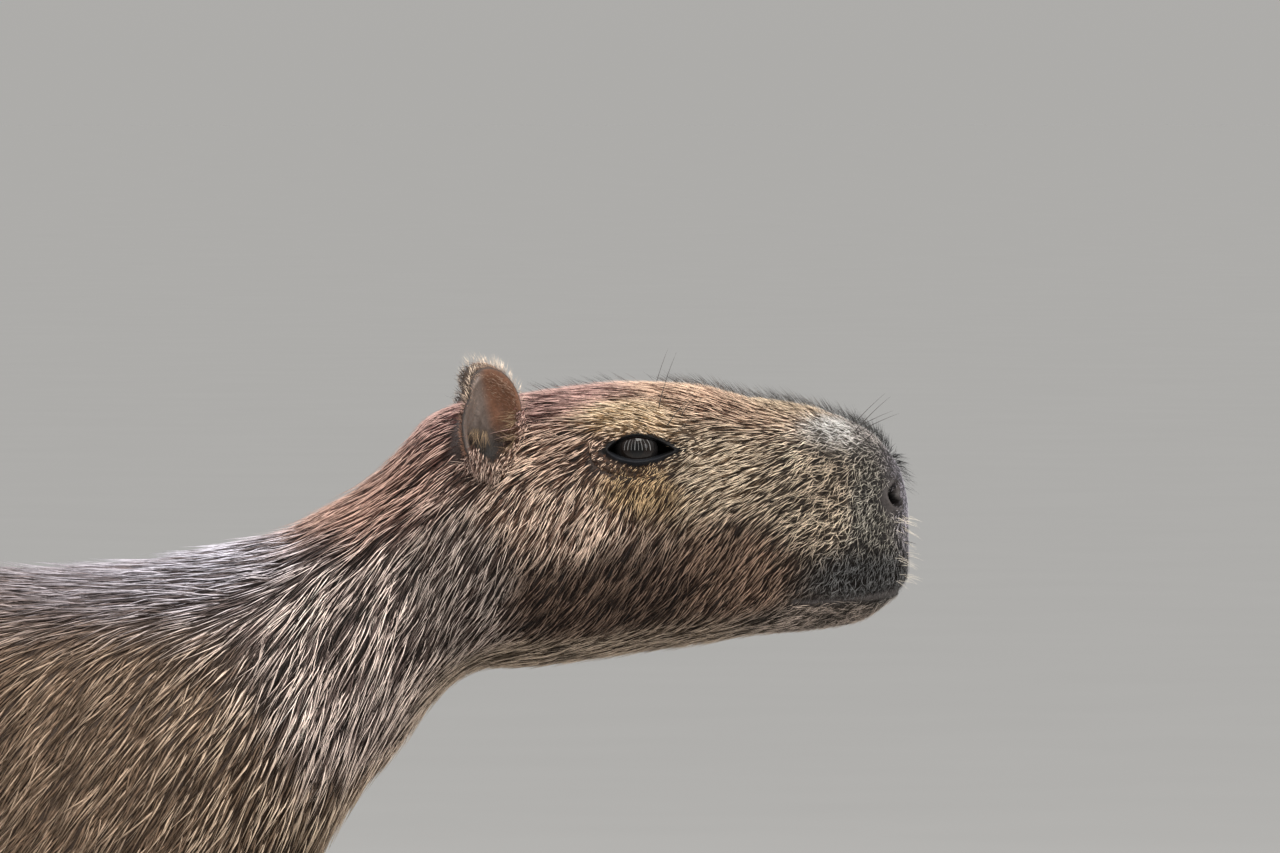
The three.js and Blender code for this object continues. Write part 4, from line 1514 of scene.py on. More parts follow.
@dataclass
class Coat:
    """The coat of the whole body: tufts strewn over the skin by the plan's cover."""

    trunk: Trunk
    limbs: tuple[Limb, ...]
    plan: CoatPlan
    eye: EyePlan
    nostril: NostrilPlan
    mouth: MouthPlan
    hollow: HollowPlan = HollowPlan()
    seed: int = 11
    most: int = 33000
    lock_turn: float = 0.12
    wisp_turn: float = 0.07
    stray_turn: float = 0.09
    wild_turn: float = 0.31
    wild_x: float = 462.0
    curl: float = 0.028
    wild_curl: float = 0.18
    straw_from: float = 0.75
    deep_below: float = 0.48
    calm_x: float = 190.0
    bristle_share: float = 0.2
    bristle_width: float = 0.3
    bristle_tone: float = 0.1

    def bareness(self, points: Array, normals: Array) -> Array:
        """The share of the tufts that grow: none in eyes, nostrils, mouth and ears and under the feet.

        Args:
            points: places on the skin.
            normals: the skin's normals there.

        Returns:
            The shares, 0 to 1.
        """
        _, outer = self.eye.share(points)
        keep = step((outer - 0.86) / 0.05)
        behind = step((530 - points[:, 0]) / 4)
        keep *= step((self.nostril.distance(points) - 1.3 - 0.5 * behind) / (0.5 + 0.7 * behind))
        keep *= step((self.hollow.share(points) - 0.98) / 0.12)
        mouth = np.abs(points[:, 2] - self.mouth.line(points[:, 0]))
        inside = step((points[:, 0] - self.mouth.corner_x + 4) / 6)
        keep *= 1 - inside * step((3.0 - mouth) / 1.2)
        sole = step((9 - points[:, 2]) / 5) * step((-normals[:, 2] - 0.1) / 0.3)
        return keep * (1 - sole)

    def strew(self, skin: bpy.types.Object, seed: int, keep: Callable[[Array, Array], Array]) -> TuftSet:
        """Spreads roots over a piece's triangles in proportion to area and wanted number, and sizes them.

        Args:
            skin: the piece that they grow on.
            seed: of their random draw.
            keep: gives the share that grows, from points and normals.

        Returns:
            The tufts.
        """
        rng = np.random.default_rng(seed)
        points, normals, tris = points_of(skin), normals_of(skin), triangles_of(skin)
        a, b, c = (points[tris[:, k]] for k in range(3))
        area = np.linalg.norm(np.cross(b - a, c - a), axis=1) / 2
        middle, facing = (a + b + c) / 3, unit(normals[tris].sum(1))
        length, width, cover = self.plan.read(middle, "length", "width", "cover")
        wanted = area * cover / (0.5 * length * width) * keep(middle, facing)
        total = np.concatenate([[0], np.cumsum(wanted)])
        count = int(total[-1])
        pick = np.searchsorted(total, (np.arange(count) + rng.random(count)) * total[-1] / count) - 1
        pick = np.clip(pick, 0, len(tris) - 1)
        r1, r2 = np.sqrt(rng.random(count)), rng.random(count)
        share = np.stack([1 - r1, r1 * (1 - r2), r1 * r2], 1)[:, :, None]
        root = (points[tris[pick]] * share).sum(1)
        normal = unit((normals[tris[pick]] * share).sum(1))
        return self.grown(root, normal, rng)

    def grown(self, root: Array, normal: Array, rng: np.random.Generator) -> TuftSet:
        """Gives roots their lie, sizes and colours.

        The lie turns with a slow wave, so that neighbours gather into locks, and a little at random,
        more so on the muzzle.

        Args:
            root: where the tufts grow.
            normal: the skin's normals there.
            rng: the source of the random draws.

        Returns:
            The tufts.
        """
        n = len(root)
        length, width, lift = self.plan.read(root, "length", "width", "lift")
        lie = self.plan.lie(root, normal)
        side = np.cross(normal, lie)
        wild = step((root[:, 0] - self.wild_x) / 40)
        turn = self.lock_turn * ripple(root, 21, 21) + self.wisp_turn * ripple(root, 8, 22)
        turn = turn + rng.normal(0, 1, n) * (self.stray_turn + self.wild_turn * wild)
        lie = unit(lie * np.cos(turn)[:, None] + side * np.sin(turn)[:, None])
        draw = rng.random(n) + 0.05 * ripple(root, 13, 31)
        straw, deep = draw > self.straw_from, draw < self.deep_below
        length = length * rng.uniform(0.7, 1.25, n) * (1 + 0.2 * straw)
        width = width * rng.uniform(0.6, 1.2, n) * (1 - 0.12 * straw)
        lift = lift * rng.uniform(0.25, 1.5, n) ** 1.3 * (1 + 0.6 * straw - 0.4 * deep)
        curl = length * rng.normal(0, 1, n) * (self.curl + self.wild_curl * wild)
        stand = self.standing(root, rng)
        up = stand > 0
        length = np.where(up, rng.uniform(6, 12, n), length)
        width = np.where(up, self.bristle_width, width)
        lift = np.where(up, length * stand, lift)
        colours = self.shades(root, straw, deep, rng) * np.where(up, self.bristle_tone, 1.0)[:, None, None]
        uv = Unwrap(self.trunk, self.limbs).place(root)
        return TuftSet(root, normal, lie, length, width, lift, curl, colours, uv)

    def standing(self, root: Array, rng: np.random.Generator) -> Array:
        """Which hairs stand up as dark bristles: many along the line of snout and forehead, few elsewhere.

        Args:
            root: where the hairs grow.
            rng: the source of the random draws.

        Returns:
            How steeply each stands, as a share of its length, or 0 where it lies.
        """
        x, y, z = root.T
        line = bell(y / 15) * step((x - 392) / 30) * step((536 - x) / 10)
        crown = bell(y / 30) * 0.06 * step((x - 285) / 20) * step((400 - x) / 30)
        share = self.bristle_share * np.maximum(line, crown * 5) * (z > 560)
        return (rng.random(len(root)) < share) * rng.uniform(0.5, 0.95, len(root))

    def shades(self, root: Array, straw: Array, deep: Array, rng: np.random.Generator) -> Array:
        """Colours of dark, brown and straw hairs, more alike on the body, and brighter in slow patches.

        Args:
            root: where the hairs grow.
            straw: which are straw-coloured.
            deep: which are dark.
            rng: the source of the random draws.

        Returns:
            For each hair the colours at root, middle and tip.
        """
        dark, mid, pale = self.plan.read(root, "dark", "mid", "pale")
        straw, deep = straw[:, None], deep[:, None]
        body = np.where(straw, pale * 1.05, np.where(deep, dark * 0.9 + mid * 0.05, mid * 0.82))
        tip = np.where(straw, pale * 1.35, np.where(deep, dark * 0.8 + mid * 0.14, mid * 0.78 + pale * 0.18))
        calm = 0.6 * step((self.calm_x - root[:, 0]) / 110)[:, None]
        body = body * (1 - calm) + mid * 1.25 * calm
        tip = tip * (1 - calm) + (mid * 0.8 + pale * 0.35) * calm
        # The roots are darker than the hair: partly the hair's own dark base, partly painted shade among the
        # hairs near the skin.
        base = dark * 0.5 + body * 0.12
        value = (1 + 0.16 * ripple(root, 38, 32) + rng.normal(0, 0.09, len(root)))[:, None, None]
        return np.stack([base, body, tip], 1) * np.clip(value, 0.5, 1.6)

    def round_eye(self, points: Array, normals: Array) -> Array:
        """The share that grows on the lids' surface: none on the dark lids, all beyond them.

        Args:
            points: places on the lids' piece.
            normals: its normals there.

        Returns:
            The shares, 0 to 1.
        """
        _, outer = self.eye.share(points)
        facing = step((np.sign(points[:, 1]) * normals[:, 1] - 0.1) / 0.2)
        return step((self.eye.dark_share(points) - 0.84) / 0.1) * step((1.0 - outer) / 0.03) * facing

    def dress_lids(self, lids: bpy.types.Object, side: Side, material: bpy.types.Material) -> None:
        """Short hairs over the skin round one eye.

        Args:
            lids: the piece that they grow on.
            side: which eye.
            material: the hair's finish.
        """
        tufts = self.strew(lids, self.seed + 2 + side.value, self.round_eye)
        near = step((1.55 - self.eye.dark_share(tufts.root)) / 0.6)
        tufts.length *= 0.8 - 0.45 * near
        tufts.lift *= 1 - 0.4 * near
        hairs = TuftMaker(bury=0.4).build(f"coat_eye_{side.name.lower()}", tufts, lids)
        place_piece(hairs, Slot.FACE, material)

    def zones(self, root: Array) -> Array:
        """Sorts roots by the limb they are on, and by planes that lean as the neck's two cuts do.

        Args:
            root: where the tufts grow.

        Returns:
            0 on the head, 1 on the neck, 2 on the torso, 3 on the fore legs and 4 on the hind legs.
        """
        owner = Unwrap(self.trunk, self.limbs).limb_of(root)
        x, z = root[:, 0], root[:, 2]
        neck_front = 262 + (z - 400) * (279.5 - 262) / 220
        neck_back = 216 + (z - 290) * (158.5 - 216) / 260
        zone = np.where(x > neck_front, 0, np.where(x > neck_back, 1, 2))
        return np.where(owner >= 2, 4, np.where(owner >= 0, 3, zone))

    def build(self, skin: bpy.types.Object, material: bpy.types.Material) -> None:
        """Builds the coat in pieces by zone and side, each small enough to export whole.

        Args:
            skin: the piece that it grows on.
            material: its finish.
        """
        tufts = self.strew(skin, self.seed, self.bareness)
        zone = self.zones(tufts.root)
        maker = TuftMaker()
        names = ("head", "neck", "torso", "fore_leg", "hind_leg")
        slots = (Slot.FACE, Slot.COAT, Slot.COAT, Slot.LEG, Slot.LEG)
        for k, name in enumerate(names):
            for side in Side:
                mine = np.flatnonzero((zone == k) & (np.sign(tufts.root[:, 1] + 1e-6) == side.value))
                mine = mine[np.argsort(-tufts.root[mine, 0])]
                parts = max(1, math.ceil(len(mine) / self.most))
                for part, chosen in enumerate(np.array_split(mine, parts)):
                    label = f"coat_{name}_{side.name.lower()}_{part + 1}"
                    place_piece(maker.build(label, tufts.pick(chosen), skin), slots[k], material)


# Eyes and lids


@dataclass
class Eyes:
    """The eyeballs: a sphere whose front swells into the cornea, dark brown round a wide pupil."""

    plan: EyePlan
    cornea: float = 7.6
    swell: float = 0.25
    iris: Triple = (0.006, 0.0035, 0.0025)
    white: Triple = (0.005, 0.0045, 0.0045)

    def build(self, side: Side, material: bpy.types.Material) -> None:
        """The surface as a function of the angle off the axis and the angle round it.

        Args:
            side: which eye.
            material: its finish.
        """
        off = np.linspace(0.02, np.pi - 0.02, 48)[:, None]
        turn = full_turn(64)[None, :]
        at_x, at_y, at_z = self.plan.at
        across = self.plan.radius * np.sin(off)
        bulge = self.swell * step((self.cornea + 3.5 - across) / 9) * (np.cos(off) > 0)
        r = self.plan.radius + bulge
        x = at_x + r * np.sin(off) * np.cos(turn)
        z = at_z + r * np.sin(off) * np.sin(turn)
        rings = np.stack(np.broadcast_arrays(x, side.value * (at_y + r * np.cos(off)), z), -1)
        points, faces = closed_tube(rings)
        piece = closed_piece(f"eyeball_{side.name.lower()}", points, faces)
        dx, dz = points[:, 0] - at_x, points[:, 2] - at_z
        off_axis = np.hypot(dx, dz)
        ray = 0.75 + 0.25 * np.sin(np.arctan2(dz, dx) * 31)
        iris = step((off_axis - 3.4) / 1.0)[:, None] * np.array(self.iris) * ray[:, None]
        edge = step((off_axis - 8.0) / 1.6)[:, None]
        paint(piece, iris * (1 - edge) + np.array(self.white) * edge + 0.0015)
        place_piece(piece, Slot.EYE, material, f"eye_{side.name.lower()}")


@dataclass
class Lids:
    """The lids and the skin round the eye as a closed ring: out over the lids and back beneath them."""

    trunk: Trunk
    plan: CoatPlan
    eye: EyePlan
    around: int = 128
    steps: int = 40
    dome: float = 13.7
    rim: float = 1.5
    thick: float = 2.6
    upper_rim: Triple = (0.003, 0.0028, 0.003)
    # The lower rim's faint blue is a painted reflection of the sky on its black skin.
    lower_rim: Triple = (0.008, 0.0088, 0.011)
    corner_rim: Triple = (0.004, 0.0038, 0.004)

    def sheet(self, theta: Array, s: Array, under: bool) -> tuple[Array, Array]:
        """The lids' surface over the angle theta and the share s from margin to outer edge.

        Its height is a soft maximum of the dome over the eyeball and the skin of the head. It adds a
        thick rim at the margin and two folds beyond it, and sinks under the skin at the outer edge.

        Args:
            theta: angles round the eye, one a column.
            s: shares out from the margin, one a row.
            under: whether to give the hidden inner side.

        Returns:
            The points of the left lids and their distance from the margin.
        """
        mx, mz = self.eye.margin(theta)
        ox, oz = self.eye.outer(theta)
        dx, dz = mx + (ox - mx) * s, mz + (oz - mz) * s
        far = np.hypot(dx - mx, dz - mz)
        x, z = self.eye.at[0] + dx, self.eye.at[2] + dz
        square = dx**2 + dz**2
        ball = self.eye.at[1] + np.sqrt(np.maximum((self.eye.radius + 0.5) ** 2 - square, 0))
        dome = self.eye.at[1] + np.sqrt(np.maximum(self.dome**2 - square, 0))
        skin = self.trunk.flank(x, z) - 1.5
        soft = 1.1
        lid = soft * np.logaddexp(dome / soft, skin / soft)
        upper = np.sin(theta) > 0
        front = np.clip(np.cos(theta), 0, 1) ** 3
        rim = self.rim * np.where(upper, 0.8, 1.1) * (1 - 0.75 * front) * bell((far - 1.7) / 1.25)
        fold = np.where(upper, 1.0, 0.8) * bell((far - 4.6) / 0.9)
        fold += np.where(upper, 0.35, 0.65) * bell((far - 8.2) / 1.1)
        crease = 0.3 * np.sin(theta * 23 + 0.7 * far) * bell((far - 7) / 5)
        edge = np.maximum(ball, skin - 2.6)
        y = edge + (lid + rim - fold + crease * 0.5 - edge) * step(far / 1.5 + 0.05)
        y -= 1.5 * step((s - 0.82) / 0.18)
        if under:
            y = y - self.thick * step(s * 14 + 0.25) - 0.4
        return np.stack(np.broadcast_arrays(x, y, z), -1), far

    def build(self, side: Side, material: bpy.types.Material) -> bpy.types.Object:
        """The lids of one side, black, with a faint blue on the lower rim that paints the sky's reflection.

        Args:
            side: which eye.
            material: the lids' finish.

        Returns:
            The lids.
        """
        theta = full_turn(self.around)[None, :]
        s = np.linspace(0, 1, self.steps)[:, None] ** 1.7
        over, far = self.sheet(theta, s, False)
        under, _ = self.sheet(theta, s[::-1], True)
        under[0] = under[0] * 0.5 + over[-1] * 0.5
        rings = np.concatenate([over, under])
        distance = np.concatenate([far, np.zeros_like(far)])
        angle = np.broadcast_to(theta, distance.shape)
        points = rings.reshape(-1, 3) * np.array([1, side.value, 1])
        piece = closed_piece(f"lids_{side.name.lower()}", points, ring_faces(len(rings), self.around))
        paint(piece, self.tones(points, distance.ravel(), angle.ravel()))
        unwrap(piece, Unwrap(self.trunk, ()).place(points))
        place_piece(piece, Slot.BARE, material)
        return piece

    def tones(self, points: Array, far: Array, theta: Array) -> Array:
        """Colours of the lids: dark rims, the lower one with a painted sky reflection, wet at the margin, and
        beyond them the coat's dark tones as painted shade between the hairs.

        Args:
            points: the lids' points.
            far: their distance from the margin.
            theta: their angle round the eye.

        Returns:
            One linear colour a point.
        """
        dark, mid = self.plan.read(points, "dark", "mid")
        # Painted shade: the lids' skin takes the dark tone seen between the hairs that grow on it.
        coat = dark * 0.8 + mid * 0.15
        upper = step(np.sin(theta) * 4 + 0.5)[:, None]
        rim = upper * np.array(self.upper_rim) + (1 - upper) * np.array(self.lower_rim)
        corner = np.maximum(step((points[:, 0] - 393) / 8), step((371 - points[:, 0]) / 6))[:, None]
        rim = rim * (1 - corner) + np.array(self.corner_rim) * corner
        share = step((self.eye.dark_share(points) - 0.9) / 0.25)[:, None]
        wet = step((0.9 - far) / 0.6)[:, None]
        return (rim * (1 - share) + coat * share) * (1 - 0.6 * wet)


# Ears


@dataclass
class Ears:
    """The cupped ears: the rim's outline drawn in by a share and sunk towards the head, ring by ring."""

    rim: tuple[Triple, ...] = (
        (319.5, 51, 598), (319, 51.5, 606), (317, 52.5, 613.5), (313, 54.5, 620.5), (307.5, 57, 625.5),
        (300.5, 60, 627.5), (294, 63, 625.5), (290.5, 65, 619.5), (290, 65.5, 612), (287.5, 66.5, 605.5),
        (286, 67.5, 598), (286.5, 68.5, 589), (289, 69, 579.5), (295, 69, 572), (304, 66.5, 569.5),
        (312.5, 61.5, 574), (317.5, 55.5, 582), (319.5, 52, 590),
    )
    centre: Triple = (303.0, 60.0, 594.0)
    # share of the rim, sink towards the head
    wall: tuple[tuple[float, float], ...] = (
        (0.3, 25), (0.62, 20), (0.86, 12), (0.99, 5), (1.02, 1.5), (0.98, 0), (0.88, 1.8),
        (0.78, 6.5), (0.58, 11.5), (0.3, 14.5),
    )
    around: int = 112
    rings: int = 56
    skirt_count: int = 1500
    hollow_count: int = 110
    # first ring, last ring, count, length, width, lift, share that points out of the rim
    groups: tuple[tuple[float, ...], ...] = (
        (4, 26, 1300, 6.0, 0.45, 0.4, 0.15),
        (27, 31, 280, 7.5, 0.17, 1.6, 1.0),
        (34, 50, 900, 4.0, 0.24, 0.6, 0.3),
    )
    fringe_tone: Triple = (0.7, 0.56, 0.44)
    hair_tone: Triple = (0.2, 0.11, 0.075)
    hollow_tone: Triple = (0.25, 0.175, 0.11)

    def surface(self, side: Side) -> Array:
        """Rings of the ear: centre + (rim - centre) times share, less the sink towards the head.

        Args:
            side: which ear.

        Returns:
            The points, one ring a row.
        """
        rim = curve_through(np.array(self.rim), self.around, closed=True)
        wall = curve_through(np.array(self.wall), self.rings)
        share, sink = wall[:, 0, None], wall[:, 1, None]
        middle = np.array(self.centre)
        off = rim - middle
        x = middle[0] + off[None, :, 0] * share - sink * 0.12
        y = middle[1] + off[None, :, 1] * share - sink
        z = middle[2] + off[None, :, 2] * share - sink * 0.2
        inside = step((np.arange(self.rings)[:, None] - self.rings * 0.58) / 8)
        turn = full_turn(self.around)[None, :]
        spine = 300 - (z - 585) * 0.2
        ridge = 4.2 * bell((x - spine) / 4.0) * step((z - 578) / 12)
        ridge = inside * (ridge + 0.5 * np.sin(turn * 7 + share * 6)) * step((share - 0.25) / 0.25)
        return np.stack([x, (y + ridge) * side.value, z], -1)

    def uv(self, points: Array) -> Array:
        """A flat unwrap from the side: x and z from the ear's middle, in metres, round the map's middle."""
        return 0.5 + (points[:, (0, 2)] - np.array([self.centre[0], self.centre[2]])) / 1000

    def build(self, side: Side, material: bpy.types.Material) -> None:
        """One ear, darker on the rolled rim at the back, with painted shade deep in the hollow, brown in
        front.

        Args:
            side: which ear.
            material: its finish.
        """
        points, faces = closed_tube(self.surface(side))
        piece = closed_piece(f"ear_skin_{side.name.lower()}", points, faces)
        paint(piece, self.tones(points))
        unwrap(piece, self.uv(points))
        place_piece(piece, Slot.EAR, material, f"ear_{side.name.lower()}")

    def tones(self, points: Array) -> Array:
        """Colours of the ear's skin from its outline and from the ring's place between root and hollow.

        Args:
            points: the ear's points.

        Returns:
            One linear colour a point.
        """
        ring = np.concatenate([np.repeat(np.arange(self.rings), self.around), [0, self.rings - 1]])
        layer = ring / self.rings
        x, z = points[:, 0], points[:, 2]
        front = step((x - 298 + (z - 600) * 0.2) / 7)[:, None]
        brown, grey = np.array([0.135, 0.064, 0.038]), np.array([0.115, 0.09, 0.078])
        inner = brown * front + grey * (1 - front)
        # Painted shade: the inner skin darkens deep in the hollow and towards its foot.
        deep = step((layer - 0.66) / 0.14)[:, None] * step((600 - z) / 14)[:, None]
        inner = inner * (1 - 0.9 * deep)
        outer = np.array([0.05, 0.036, 0.03])
        rim = bell((layer - 0.52) / 0.07)[:, None]
        dark = np.array([0.035, 0.028, 0.026])
        side = step((layer - 0.5) / 0.06)[:, None]
        tone = outer * (1 - side) + inner * side
        back = step((300 - x) / 8)[:, None]
        share = rim * (0.25 + 0.7 * back)
        return tone * (1 - share) + dark * 0.7 * share

    def skirt(self, side: Side, rng: np.random.Generator, plan: CoatPlan) -> TuftSet:
        """The head's coat where it grows back over the front and the foot of the ear's rim.

        Args:
            side: which ear.
            rng: the source of the random draws.
            plan: the coat's places, for its colours.

        Returns:
            The hairs.
        """
        count = self.skirt_count
        rim = curve_through(np.array(self.rim), 720, closed=True)
        low = np.flatnonzero(((rim[:, 2] < 604) & (rim[:, 0] > 308)) | (rim[:, 2] < 582))
        root = rim[rng.choice(low, count)]
        inward = step((586 - root[:, 2]) / 8) * rng.uniform(0, 0.3, count)
        root = root + (np.array(self.centre) - root) * inward[:, None] * np.array([1, 0, 1])
        root = root + rng.normal(0, 1.4, (count, 3)) + np.array([0.5, -0.8, -0.5])
        front = step((root[:, 0] - 300) / 12)[:, None]
        lie = front * np.array([-0.55, 0.5, -0.65]) + (1 - front) * np.array([-0.25, 0.12, -0.95])
        lie = unit(lie + rng.normal(0, 0.13, (count, 3)))
        out = np.array([0.15, 1.0, 0.1])
        normal = unit(out - (lie @ out)[:, None] * lie)
        turn = np.array([1, side.value, 1])
        dark, mid, pale = plan.read(root, "dark", "mid", "pale")
        draw = rng.random((count, 1))
        tone = np.where(draw > 0.6, pale, np.where(draw < 0.3, dark * 0.8 + mid * 0.2, mid))
        length = rng.uniform(5, 10, count) * (1 - 0.45 * step((root[:, 2] - 574) / 10))
        width, lift = rng.uniform(0.3, 0.62, count), rng.uniform(0, 1.5, count)
        curl = length * rng.normal(0, 0.1, count)
        colours = np.stack([dark * 0.6, tone, tone * 1.1], 1)
        root, normal, lie, uv = root * turn, normal * turn, lie * turn, self.uv(root)
        return TuftSet(root, normal, lie, length, width, lift, curl, colours, uv)

    def hairs(self, side: Side, rng: np.random.Generator, plan: CoatPlan) -> TuftSet:
        """Hairs of the ear: a pale fringe on the rim, short ones over both faces, long ones at the hollow.

        Args:
            side: which ear.
            rng: the source of the random draws.
            plan: the coat's places, for the hairs at the ear's foot.

        Returns:
            All the ear's hairs.
        """
        rings = self.surface(side)
        along, turn_step = np.gradient(rings, axis=0), np.roll(rings, -1, 1) - np.roll(rings, 1, 1)
        normal = unit(np.cross(along, turn_step))
        outer = rings[3] - np.array(self.centre) * np.array([1, side.value, 1])
        if (normal[3] * outer).sum() < 0:
            normal = -normal
        parts = []
        for first, last, count, length, width, lift, out in self.groups:
            r, k = rng.integers(first, last, count), rng.integers(0, self.around, count)
            root, n = rings[r, k], normal[r, k]
            away = unit(root - np.array([303, 58 * side.value, 590])) * np.array([1, 0.3, 1])
            back = np.array([-0.8, 0.1 * side.value, 0.2])
            lie = unit(away * out + back * (1.1 - out))
            lie = unit(lie - 0.8 * (lie * n).sum(1, keepdims=True) * n + rng.normal(0, 0.16, (count, 3)))
            x, z = root[:, 0], root[:, 2]
            high = step((z - 600) / 14)
            pale, brown = np.array([self.fringe_tone]), np.array([self.hair_tone])
            tone = brown * (1 - high[:, None] * out) + pale * high[:, None] * out
            dusk = 1 - 0.75 * step((302 - x) / 8) * step((z - 596) / 8) * (first < 20)
            tone = tone * rng.uniform(0.6, 1.35, (count, 1)) * dusk[:, None]
            size = length * (0.55 + 0.45 * high) * rng.uniform(0.6, 1.2, count)
            wide = np.full(count, width) * rng.uniform(0.7, 1.2, count)
            curl = size * rng.normal(0, 0.1, count)
            colours = np.stack([tone * 0.5, tone, tone * 1.25], 1)
            steep = np.full(count, lift)
            parts.append(TuftSet(root, n, lie, size, wide, steep, curl, colours, self.uv(root)))
        parts += [self.hollow_hairs(side, rng), self.skirt(side, rng, plan)]
        keys = TuftSet.__dataclass_fields__
        return TuftSet(*(np.concatenate([getattr(p, key) for p in parts]) for key in keys))

    def hollow_hairs(self, side: Side, rng: np.random.Generator) -> TuftSet:
        """Straw hairs that cross the hollow from the front edge, and hang from the notch at its back.

        Args:
            side: which ear.
            rng: the source of the random draws.

        Returns:
            The hairs.
        """
        count = self.hollow_count
        turn = np.array([1, side.value, 1])
        front = rng.random(count) < 0.55
        s = rng.random(count)
        start = np.array([318.0, 51.5, 604.0]) + s[:, None] * np.array([-1.0, 4.0, -30.0])
        hang = np.array([300.0, 57.0, 593.0]) + s[:, None] * np.array([-9.0, 5.0, 3.0])
        root = np.where(front[:, None], start, hang) * turn
        lie = np.where(front[:, None], np.array([-0.92, 0.25, -0.3]), np.array([-0.15, 0.15, -1.0]))
        lie = unit(lie + rng.normal(0, 0.2, (count, 3))) * turn
        normal = np.tile(np.array([0.1, 0.95 * side.value, 0.25]), (count, 1))
        normal = unit(normal - (normal * lie).sum(1, keepdims=True) * lie)
        tone = np.array(self.hollow_tone) * rng.uniform(0.4, 1.4, (count, 1))
        length, width = rng.uniform(7, 17, count), rng.uniform(0.2, 0.36, count)
        lift, curl = rng.uniform(0, 1.6, count), rng.normal(0, 1.4, count)
        colours = np.stack([tone * 0.5, tone, tone * 1.3], 1)
        return TuftSet(root, normal, lie, length, width, lift, curl, colours, self.uv(root))


# Claws and whiskers


@dataclass
class Claws:
    """The blunt claws: a section that narrows and thins along the toe, flat below and crowned above."""

    around: int = 28
    steps: int = 26
    root_tone: Triple = (0.03, 0.025, 0.023)
    tip_tone: Triple = (0.085, 0.07, 0.058)

    def build(self, limb: Limb, number: int, toe: Toe, label: str, material: bpy.types.Material) -> None:
        """One claw as a function of the share along it and the angle round it.

        Args:
            limb: the leg that it belongs to.
            number: which toe, counted from 1.
            toe: the toe's measures.
            label: the start of the names of the piece and its node.
            material: the horn's finish.
        """
        foot = limb.foot
        s = np.linspace(0, 1, self.steps)
        reach = toe.length * 0.9 + (foot.claw + toe.tip * 0.5) * s
        knots = np.array([0, 0.4, 0.72, 1.0])
        height = foot.toe_tip_z * smooth_rows(knots, np.array([1.0, 0.95, 0.78, 0.55]), s)
        wide = foot.claw_radius * smooth_rows(knots, np.array([0.94, 0.98, 0.8, 0.42]), s)
        thick = foot.claw_radius * smooth_rows(knots, np.array([0.88, 0.84, 0.6, 0.26]), s)
        angle = full_turn(self.around)[None, :]
        line = limb.toe_line(toe, reach, height)
        out, up = (axis[:, None] for axis in level_axes(line))
        c, v = np.cos(angle)[..., None], np.sin(angle)[..., None]
        flat = np.where(v < 0, 0.72, 1.0)
        ridges = 1 + 0.018 * np.sin(angle * 9)[..., None] * step(v[..., 0])[..., None]
        rings = line[:, None] + wide[:, None, None] * c * out * ridges
        rings = rings + thick[:, None, None] * v * up * flat * ridges
        rings[..., 2] = np.maximum(rings[..., 2], 0.3)
        points, faces = closed_tube(rings)
        piece = closed_piece(f"{label}_horn_{number}", points, faces)
        share = np.concatenate([np.repeat(s, self.around), [0, 1]])[:, None]
        grain = 1 + 0.25 * np.sin(np.concatenate([np.tile(angle[0], self.steps), [0, 0]]) * 17)[:, None]
        tone = np.array(self.root_tone) * (1 - share) + np.array(self.tip_tone) * share
        paint(piece, tone * grain)
        place_piece(piece, Slot.CLAW, material, f"{label}_{number}")


